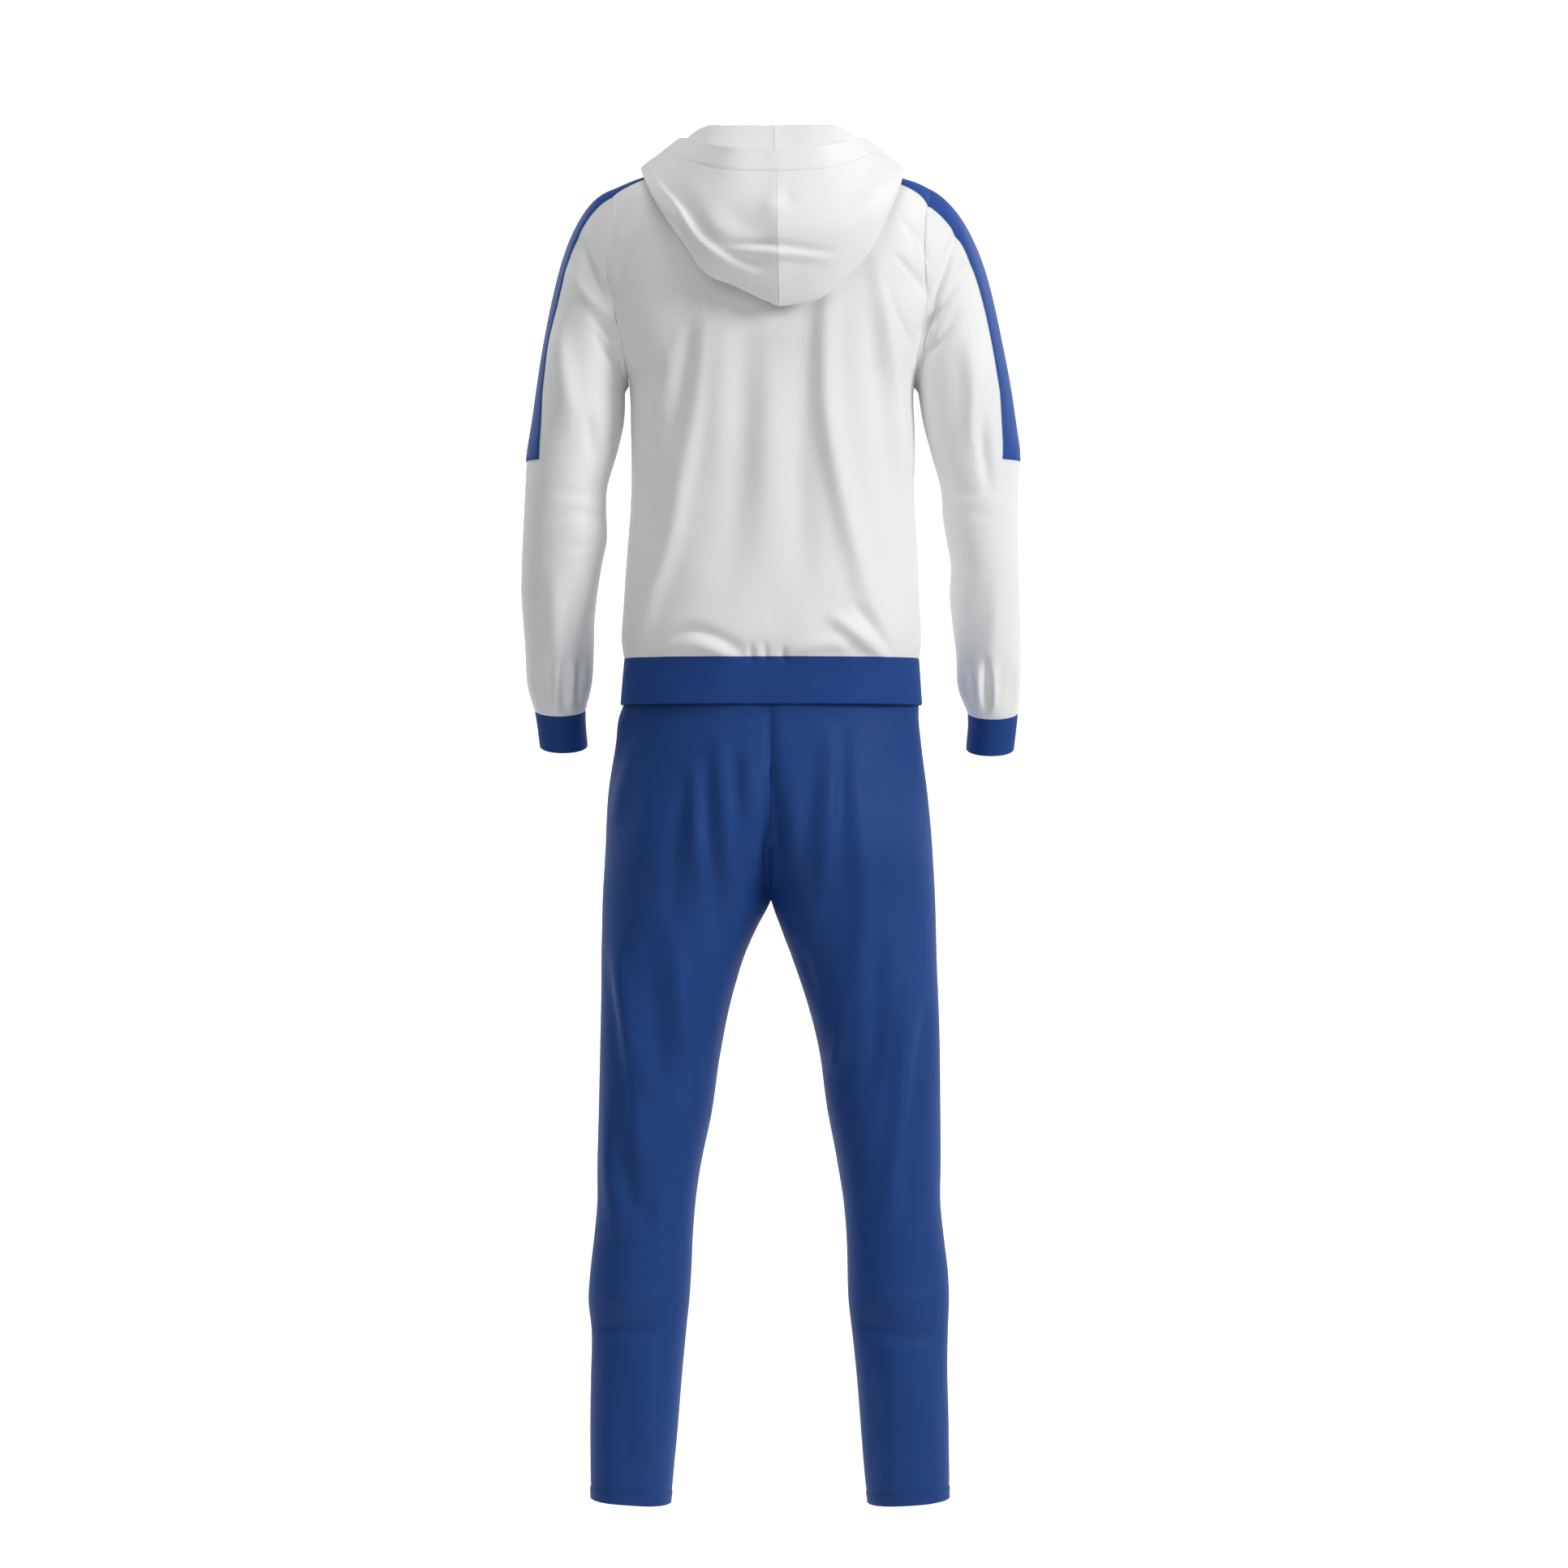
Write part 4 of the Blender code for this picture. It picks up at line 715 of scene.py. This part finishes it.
def cloth_wall(name, outer, inner, wrapped, free, finish):
    """Closed wall between two layers, its free edges rounded, with the cloth's own UV in metres."""
    rows, columns = outer.shape[:2]
    used = columns - 1 if wrapped else columns
    place = np.arange(rows * used).reshape(rows, used)
    if wrapped:
        place = np.concatenate((place, place[:, :1]), axis=1)
    spot = np.arange(rows * columns).reshape(rows, columns)
    place = place.ravel()
    distances = edge_distances(outer)
    flat_uv = np.stack(np.broadcast_arrays(
        np.mean(distances["first"], axis=0)[None, :],
        np.mean(distances["foot"], axis=1)[:, None]), axis=-1).reshape(-1, 2) * MM
    count = rows * used

    quads = np.stack((spot[:-1, :-1], spot[:-1, 1:], spot[1:, 1:], spot[1:, :-1]), axis=-1)
    quads = quads.reshape(-1, 4)
    faces = [place[quads], place[quads[:, ::-1]] + count]
    corners = [quads, quads[:, ::-1]]
    points = [outer[:, :used].reshape(-1, 3), inner[:, :used].reshape(-1, 3)]

    edges = {"foot": spot[0], "last": spot[:, -1], "head": spot[-1, ::-1], "first": spot[::-1, 0]}
    total = 2 * count
    for edge in ("foot", "head") if wrapped else edges:
        line = edges[edge]
        row, column = np.divmod(line, columns)
        beside = column if wrapped else np.clip(column, 1, columns - 2)
        inside = outer[np.clip(row, 1, rows - 2), beside]
        away = outer[row, column] - inside
        away /= np.linalg.norm(away, axis=1)[:, None]
        wall = np.linalg.norm(outer[row, column] - inner[row, column], axis=1)[:, None]
        middle = (outer[row, column] + inner[row, column]) / 2
        if edge in free:
            middle = middle + away * wall * EDGE_ROUNDING
        # an edge ends on the next edge's first point, or on its own where it runs round a tube
        points.append(middle[:-1])
        ids = np.arange(len(line)) + total
        if wrapped:
            ids[-1] = total
        elif edge == "first":
            ids[-1] = 2 * count
        total += len(line) - 1
        top, low = place[line], place[line] + count
        faces.append(np.stack((top[1:], top[:-1], ids[:-1], ids[1:]), axis=1))
        faces.append(np.stack((ids[1:], ids[:-1], low[:-1], low[1:]), axis=1))
        uv_line = np.stack((line[1:], line[:-1], line[:-1], line[1:]), axis=1)
        corners += [uv_line, uv_line]

    mesh = bpy.data.meshes.new(name)
    faces = np.concatenate(faces)
    mesh.from_pydata((np.concatenate(points) * MM).tolist(), [], faces.tolist())
    layer = mesh.uv_layers.new(name="cloth")
    layer.uv.foreach_set("vector", flat_uv[np.concatenate(corners)].astype(np.float32).ravel())
    mesh.shade_smooth()
    mesh.set_sharp_from_angle(angle=math.radians(SHARP_ANGLE))
    mesh.materials.append(finish)
    return placed(name, mesh)


def sew(name, grid, plain, outward, finish, wall, wrapped=False, free=()):
    """A piece whose face has its seams and hems, over a back that stays plain."""
    outer = drawn_back(grid, grid, wrapped)
    inner = drawn_back(grid, plain - outward * wall, wrapped)
    return cloth_wall(name, outer, inner, wrapped, free, finish)


def with_folds(grids, group):
    """Grids moved out or in along their shared directions by their folds."""
    outward = weld(grids, np.zeros(len(grids)))
    return [grid + out * relief(grid, out, group)[..., None] for grid, out in zip(grids, outward)]


def stripe_grid(grids, arm_form, hand):
    """The stripe's share of the body panels and the sleeve, from the neck to the elbow. Over the
    sleeve's cap it slides forwards on the form of the arm."""
    back, front, arm = grids
    neck = len(ACROSS) - 1 - NECK_STEPS
    last = slice(-1 - ROWS_STRIPE, None)
    first, second = (front, back) if hand == "left" else (back, front)
    across = np.concatenate((first[last, -1 - neck:][:-1], second[last, :neck + 1][::-1, ::-1]))
    forwards = STRIPE_SLIDE[hand] * (-1 if hand == "left" else 1)
    on_arm = []
    for row in range(1, CAP_ROWS + ROWS_TO_STRIPE_END + 1):
        along = lengths_along(arm_form[-1 - row])
        places = along[ARM_ROWS - ROWS_STRIPE:ARM_ROWS + ROWS_STRIPE + 1]
        places = places + forwards * math.sin(math.pi * min(row / CAP_ROWS, 1.0))
        ring = [np.interp(places, along, arm[-1 - row][:, k]) for k in range(3)]
        on_arm.append(np.stack(ring, axis=1))
    return np.concatenate((np.swapaxes(across, 0, 1), on_arm))[::-1]


def line_beside(grid, outward, edge, distance, lift=0.25):
    """Line on the cloth at a distance from one of its edges."""
    apart = edge_distances(grid)[edge]
    lifted = grid + outward * lift
    line = []
    for column in range(grid.shape[1]):
        order = np.argsort(apart[:, column])
        line.append([np.interp(distance, apart[order, column], lifted[order, column, k])
                     for k in range(3)])
    return np.array(line)


def linear(colour):
    """An sRGB hex colour as linear red, green, blue and alpha."""
    parts = [int(colour[k:k + 2], 16) / 255 for k in (1, 3, 5)]
    return (*[c / 12.92 if c <= 0.04045 else ((c + 0.055) / 1.055) ** 2.4 for c in parts], 1.0)


def add(tree, kind, settings=(), links=()):
    """Adds a node with its settings, which are properties or input values, and its links."""
    node = tree.nodes.new(kind)
    for name, value in dict(settings).items():
        if isinstance(name, str) and hasattr(node, name):
            setattr(node, name, value)
        else:
            node.inputs[name].default_value = value
    for name, source in dict(links).items():
        tree.links.new(source, node.inputs[name])
    return node


def new_material(name, roughness):
    material = bpy.data.materials.new(name)
    material.use_nodes = True
    shader = material.node_tree.nodes["Principled BSDF"]
    shader.inputs["Roughness"].default_value = roughness
    return material, material.node_tree, shader


def knit(name, colour, mottle_and_loop_shade, roughness, sheen, sheen_tint, wale, course, depth):
    """Knitted polyester: columns of loops `wale` mm apart and rows `course` mm apart, raised `depth`
    mm, in two close tones that vary over the cloth at random, with the darker tone also painted in as shade
    in the hollows between the loops."""
    material, tree, shader = new_material(name, roughness)
    shader.inputs["Sheen Weight"].default_value = sheen
    shader.inputs["Sheen Roughness"].default_value = 0.45
    shader.inputs["Sheen Tint"].default_value = linear(sheen_tint)
    shader.inputs["Specular IOR Level"].default_value = 0.18
    place = add(tree, "ShaderNodeTexCoord")
    # a wave repeats after pi / 10 divided by its scale
    wales, courses = [add(tree, "ShaderNodeTexWave", {
        "wave_type": "BANDS", "bands_direction": axis, "wave_profile": "SIN",
        "Scale": math.pi / 10 / (apart * MM), "Distortion": 0.0}, {"Vector": place.outputs["UV"]})
        for axis, apart in (("X", wale), ("Y", course))]
    loops = add(tree, "ShaderNodeMath", {"operation": "MULTIPLY"},
                {0: wales.outputs["Fac"], 1: courses.outputs["Fac"]})
    bump = add(tree, "ShaderNodeBump", {"Strength": 0.5, "Distance": depth * MM},
               {"Height": loops.outputs["Value"]})
    tree.links.new(bump.outputs["Normal"], shader.inputs["Normal"])
    cloud = add(tree, "ShaderNodeTexNoise", {"Scale": 9.0, "Detail": 3.0, "Roughness": 0.55},
                {"Vector": place.outputs["Object"]})
    # painted shade: where the loops' bump is low, between the loops, the colour is pulled towards the
    # darker tone
    between = add(tree, "ShaderNodeMath", {"operation": "MULTIPLY_ADD", 1: 0.35, 2: 0.0},
                  {0: loops.outputs["Value"]})
    amount = add(tree, "ShaderNodeMath", {"operation": "MULTIPLY_ADD", 1: 0.65},
                 {0: cloud.outputs["Fac"], 2: between.outputs["Value"]})
    tone = add(tree, "ShaderNodeMix", {"data_type": "RGBA", 6: linear(mottle_and_loop_shade), 7: linear(colour)},
               {0: amount.outputs["Value"]})
    tree.links.new(tone.outputs[2], shader.inputs["Base Color"])
    return material


# Interlock polyester, bleached white and brushed smooth: a soft even surface with a faint grain.
# Its loops are 0.9 mm apart; they are drawn 2.2 mm apart so that the grain still shows.
white_knit = knit("white_interlock_knit", "#F2F2F2", "#EBECEC", 0.62, 0.15, "#FFFFFF", 2.2, 2.6, 0.12)
# The same cloth dyed royal blue, a little smoother where it is laid on as the shoulder stripe.
stripe_knit = knit("blue_stripe_interlock", "#2A519C", "#254A94", 0.55, 0.2, "#5C82CC", 2.2, 2.6, 0.10)
# One-by-one rib of the cuffs and hem band: upright ribs 2.6 mm apart, matt and darker.
rib_knit = knit("blue_rib_knit", "#234B94", "#1B3D7E", 0.72, 0.2, "#5277BE", 2.6, 3.4, 0.35)
# Trouser interlock: smooth face with a soft sheen on the folds.
trouser_knit = knit("blue_trouser_interlock", "#22498E", "#1E4180", 0.6, 0.15, "#3E68BE", 2.2, 2.6, 0.12)


def build_top():
    """The top's pieces, and the lines that its hood's stitches follow, by node."""
    back, front = body_panel("back"), body_panel("front")
    sleeves = [sleeve(armhole(back, front, hand), hand) for hand in ("left", "right")]
    hoods = [hood_half(neckline(back, front, hand), hand) for hand in ("left", "right")]
    band = np.concatenate((hem_band_ring(PANEL_SHARES[::-1], "back"),
                           hem_band_ring(PANEL_SHARES, "front")[:, 1:]), axis=1)
    cuffs = [cuff(hand) for hand in ("left", "right")]
    grids = with_folds([back, front, *sleeves, band, *cuffs], "top") + with_folds(hoods, "hood")
    names = ("jacket_back", "jacket_front", "sleeve_left", "sleeve_right", "hem_band",
             "cuff_left", "cuff_right", "hood_left", "hood_right")
    panel = {"foot": CROSS_SEAM, "first": SIDE_SEAM, "last": SIDE_SEAM}
    arm, rib = {"foot": CROSS_SEAM, "head": SIDE_SEAM}, {"head": CROSS_SEAM}
    seams = (panel, panel, arm, arm, rib, rib, rib,
             {"foot": CROSS_SEAM, "last": HOOD_SEAM}, {"foot": CROSS_SEAM, "first": HOOD_SEAM})
    plain, outward = seam_directions(grids, GROUPS_OF_TOP)
    pieces, lines = {}, {}
    for name, grid, out, drawn in zip(names, plain, outward, seams):
        tube = name.startswith(("sleeve", "hem", "cuff"))
        ribbed = name.startswith(("hem", "cuff"))
        finish, wall, free = (rib_knit, RIB, ("foot",)) if ribbed else (white_knit, JERSEY, ())
        face = drawn_in(grid, out, drawn)
        if name.startswith("hood"):
            free = ("head", "first" if name == "hood_left" else "last")
            face = turned_hem(face, out, "head", HOOD_HEM)
            lines[name] = [line_beside(face, out, "head", HOOD_HEM)]
        pieces[name] = sew(name + "_cloth", face, grid, out, finish, wall, tube, free)
    lifted = [grid + out * STRIPE_LIFT for grid, out in zip(plain, outward)]
    for hand, arm in (("left", 2), ("right", 3)):
        lower = stripe_grid((lifted[0], lifted[1], lifted[arm]), lifted[arm], hand)
        out = stripe_grid((outward[0], outward[1], outward[arm]), lifted[arm], hand)
        distances = edge_distances(lower)
        edge = np.minimum(distances["first"], distances["last"])
        thick = STRIPE_CLOTH * (1 - STRIPE_THINNING * np.exp(-edge / STRIPE_EDGE))
        upper = lower + out * thick[..., None]
        name = "stripe_" + hand
        pieces[name] = cloth_wall(name + "_cloth", upper, lower, False, ("foot", "first", "last"),
                                  stripe_knit)
    return pieces, lines


def closed_at_crotch(grid, sign):
    """Lets the two halves reach past each other at the deep centre seam just above the crotch."""
    x, z = grid[..., 0], grid[..., 2]
    past = OVERLAP * np.exp(-(x / OVERLAP_WIDTH) ** 2) * np.clip((OVERLAP_TOP - z) / OVERLAP_RAMP, 0, 1)
    past = past * np.clip((z - CROTCH) / OVERLAP_END, 0, 1)
    return grid - sign * past[..., None] * np.array((1.0, 0.0, 0.0))


def build_trousers():
    """The trousers' pieces, and the lines that their hems' stitches follow, by node."""
    rows = spread((LEG_HEM, HEM_ROWS_TOP, WAIST),
                  (steps(LEG_HEM_ROWS), steps(LEG_ROWS - LEG_HEM_ROWS, close_last=4)))
    names, panels = [], []
    for side, hand in (("back", "left"), ("front", "left"), ("front", "right"), ("back", "right")):
        names.append(f"trouser_{side}_{hand}")
        panels.append(trouser_panel(side, hand, rows))
    band_rows = WAIST_TOP + (WAIST - WAIST_TOP) * steps(WAISTBAND_ROWS)
    order = (("back", "left"), ("back", "right"), ("front", "right"), ("front", "left"))
    rings = [trouser_panel(side, hand, band_rows) for side, hand in order]
    band = np.concatenate([rings[0]] + [ring[:, 1:] for ring in rings[1:]], axis=1)
    grids = with_folds(panels + [band], "legs")
    around = np.linspace(0, 2 * np.pi, band.shape[1])
    # the inner wave makes the gathers wider and narrower by turns
    gathers = GATHER_HEIGHT * np.sin(GATHERS * around + 2.0 * np.sin(5 * around))
    grids[-1] = grids[-1] + weld(grids[-1:], (0,))[0] * gathers[None, :, None]
    plain, outward = seam_directions(grids, GROUPS_OF_TROUSERS)
    pieces, lines = {}, {}
    for name, grid, out in zip(names, plain, outward):
        grid = closed_at_crotch(grid, 1 if name.endswith("left") else -1)
        face = drawn_in(grid, out, {"first": LEG_SEAM, "last": LEG_SEAM})
        face = turned_hem(face, out, "foot", LEG_HEM_WIDTH, raised=0.5)
        pieces[name] = sew(name + "_cloth", face, grid, out, trouser_knit, JERSEY, free=("foot",))
        lines[name] = [line_beside(face, out, "foot", LEG_HEM_WIDTH - apart) for apart in LEG_STITCH_ROWS]
    pieces["waistband"] = sew("waistband_cloth", plain[-1], plain[-1], outward[-1], trouser_knit, RIB, True,
                              ("head",))
    return pieces, lines


def running_stitches(name, lines, thread, spacing=4.2, length=3.0, thickness=0.7):
    """Rows of stitches along lines, each a short rounded run of thread."""
    curve = bpy.data.curves.new(name, "CURVE")
    curve.dimensions = "3D"
    for line in lines:
        spline = curve.splines.new("POLY")
        spline.points.add(len(line) - 1)
        spline.points.foreach_set("co", np.column_stack((line * MM, np.ones(len(line)))).ravel())
    seam = placed(name + "_line", curve)
    tree = bpy.data.node_groups.new(name, "GeometryNodeTree")
    tree.interface.new_socket("Seam", in_out="INPUT", socket_type="NodeSocketGeometry")
    sizes = {"Stitch Spacing": spacing, "Stitch Length": length, "Thread Thickness": thickness}
    for size in sizes:
        tree.interface.new_socket(size, in_out="INPUT", socket_type="NodeSocketFloat")
    tree.interface.new_socket("Stitches", in_out="OUTPUT", socket_type="NodeSocketGeometry")
    given = add(tree, "NodeGroupInput")
    spaced = add(tree, "GeometryNodeResampleCurve", {"mode": "LENGTH"},
                 {"Curve": given.outputs["Seam"], "Length": given.outputs["Stitch Spacing"]})
    heading = add(tree, "GeometryNodeInputTangent")
    turn = add(tree, "FunctionNodeAlignRotationToVector", {"axis": "X"},
               {"Vector": heading.outputs["Tangent"]})
    thread_size = add(tree, "ShaderNodeCombineXYZ", {}, {
        "X": given.outputs["Stitch Length"], "Y": given.outputs["Thread Thickness"],
        "Z": given.outputs["Thread Thickness"]})
    ball = add(tree, "GeometryNodeMeshUVSphere", {"Segments": 6, "Rings": 4, "Radius": 0.5})
    stitch = add(tree, "GeometryNodeInstanceOnPoints", {}, {
        "Points": spaced.outputs["Curve"], "Instance": ball.outputs["Mesh"],
        "Rotation": turn.outputs["Rotation"], "Scale": thread_size.outputs["Vector"]})
    real = add(tree, "GeometryNodeRealizeInstances", {}, {"Geometry": stitch.outputs["Instances"]})
    dyed = add(tree, "GeometryNodeSetMaterial", {"Material": thread},
               {"Geometry": real.outputs["Geometry"]})
    add(tree, "NodeGroupOutput", {}, {"Stitches": dyed.outputs["Geometry"]})
    modifier = seam.modifiers.new("stitches", "NODES")
    modifier.node_group = tree
    for socket in tree.interface.items_tree:
        if socket.in_out == "INPUT" and socket.name in sizes:
            modifier[socket.identifier] = sizes[socket.name] * MM
    mesh = bpy.data.meshes.new_from_object(seam.evaluated_get(bpy.context.evaluated_depsgraph_get()))
    seam.modifiers.remove(modifier)
    bpy.data.objects.remove(seam)
    mesh.name = name
    mesh.shade_smooth()
    return placed(name, mesh)


def thread(name, colour):
    """Spun polyester sewing thread: dull, with a twist about a millimetre long in two close tones."""
    material, tree, shader = new_material(name, 0.5)
    place = add(tree, "ShaderNodeTexCoord")
    twist = add(tree, "ShaderNodeTexNoise", {"Scale": 900.0, "Detail": 1.0},
                {"Vector": place.outputs["Object"]})
    tone = add(tree, "ShaderNodeMix", {"data_type": "RGBA", 6: linear(colour[0]), 7: linear(colour[1])},
               {0: twist.outputs["Fac"]})
    tree.links.new(tone.outputs[2], shader.inputs["Base Color"])
    return material


top, hood_lines = build_top()
trousers, leg_lines = build_trousers()
white_thread = thread("white_thread", ("#E4E6E7", "#D2D5D8"))
blue_thread = thread("blue_thread", ("#24427F", "#1B3468"))
stitches = {node: running_stitches(node + "_stitches", lines, spun)
            for sewn, spun in ((hood_lines, white_thread), (leg_lines, blue_thread))
            for node, lines in sewn.items()}

for node, piece in {**top, **trousers}.items():
    sewn = [stitches[node]] if node in stitches else []
    for part in [piece] + sewn:
        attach(part, "root")
    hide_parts(node)


def studio():
    """A pale paper sweep, soft lights with the key from the picture's right, and the camera."""
    paper, tree, shader = new_material("matt_white_paper", 0.9)
    place = add(tree, "ShaderNodeTexCoord")
    fibre = add(tree, "ShaderNodeTexNoise", {"Scale": 3.0}, {"Vector": place.outputs["Object"]})
    tone = add(tree, "ShaderNodeMix", {"data_type": "RGBA", 6: linear("#F8F8F8"), 7: linear("#FCFCFC")},
               {0: fibre.outputs["Fac"]})
    tree.links.new(tone.outputs[2], shader.inputs["Base Color"])
    floor, back, bend, top_edge, near_edge, half_width = -2.3, -6.8, 1.6, 5.0, 6.5, 8.0
    profile = [(near_edge, floor), (back + bend, floor)]
    profile += [(back + bend - bend * math.sin(a), floor + bend - bend * math.cos(a))
                for a in np.linspace(0.06, math.pi / 2, 24)]
    profile.append((back, top_edge))
    points = [(x, y, z) for y, z in profile for x in (-half_width, half_width)]
    faces = [(2 * k, 2 * k + 1, 2 * k + 3, 2 * k + 2) for k in range(len(profile) - 1)]
    mesh = bpy.data.meshes.new("paper_sweep")
    mesh.from_pydata(points, [], faces)
    mesh.shade_smooth()
    mesh.materials.append(paper)
    placed("paper_sweep", mesh)

    for name, place, aim, size, power in (
            ("key_light", (-3.2, 2.1, 0.9), (0, 0, -0.6), 1.2, 90),
            ("top_light", (0.2, 1.3, 2.8), (0, 0, -0.5), 1.6, 34),
            ("fill_light", (1.2, 4.0, 1.3), (0, 0, -0.4), 2.4, 35),
            ("backdrop_light_left", (3.8, -2.8, 1.8), (0.5, -6.0, -1.0), 2.0, 215),
            ("backdrop_light_right", (-3.8, -2.8, 1.8), (-0.5, -6.0, -1.0), 2.0, 215)):
        lamp = bpy.data.lights.new(name, "AREA")
        lamp.size = size
        lamp.energy = power
        light = placed(name, lamp)
        light.location = place
        light.visible_camera = False
        light.rotation_euler = (Vector(aim) - Vector(place)).to_track_quat("-Z", "Y").to_euler()

    world = bpy.data.worlds.new("studio_air")
    world.use_nodes = True
    sky = world.node_tree.nodes["Background"]
    sky.inputs["Color"].default_value = (1.0, 1.0, 1.0, 1.0)
    sky.inputs["Strength"].default_value = 0.12
    bpy.context.scene.world = world

    # the photo's frame is 1.932 m wide at the garment, which is 5.75 m away
    sensor, distance, frame_width = 36.0, 5.75, 1.932
    camera = bpy.data.cameras.new("camera")
    camera.sensor_width = sensor
    camera.lens = sensor * distance / frame_width
    camera.clip_end = 50.0
    eye = placed("camera", camera)
    eye.location = (-0.016, distance, -0.751)
    eye.rotation_euler = (math.radians(90), 0.0, math.radians(180))
    bpy.context.scene.camera = eye
    bpy.context.scene.view_settings.view_transform = "Standard"


studio()
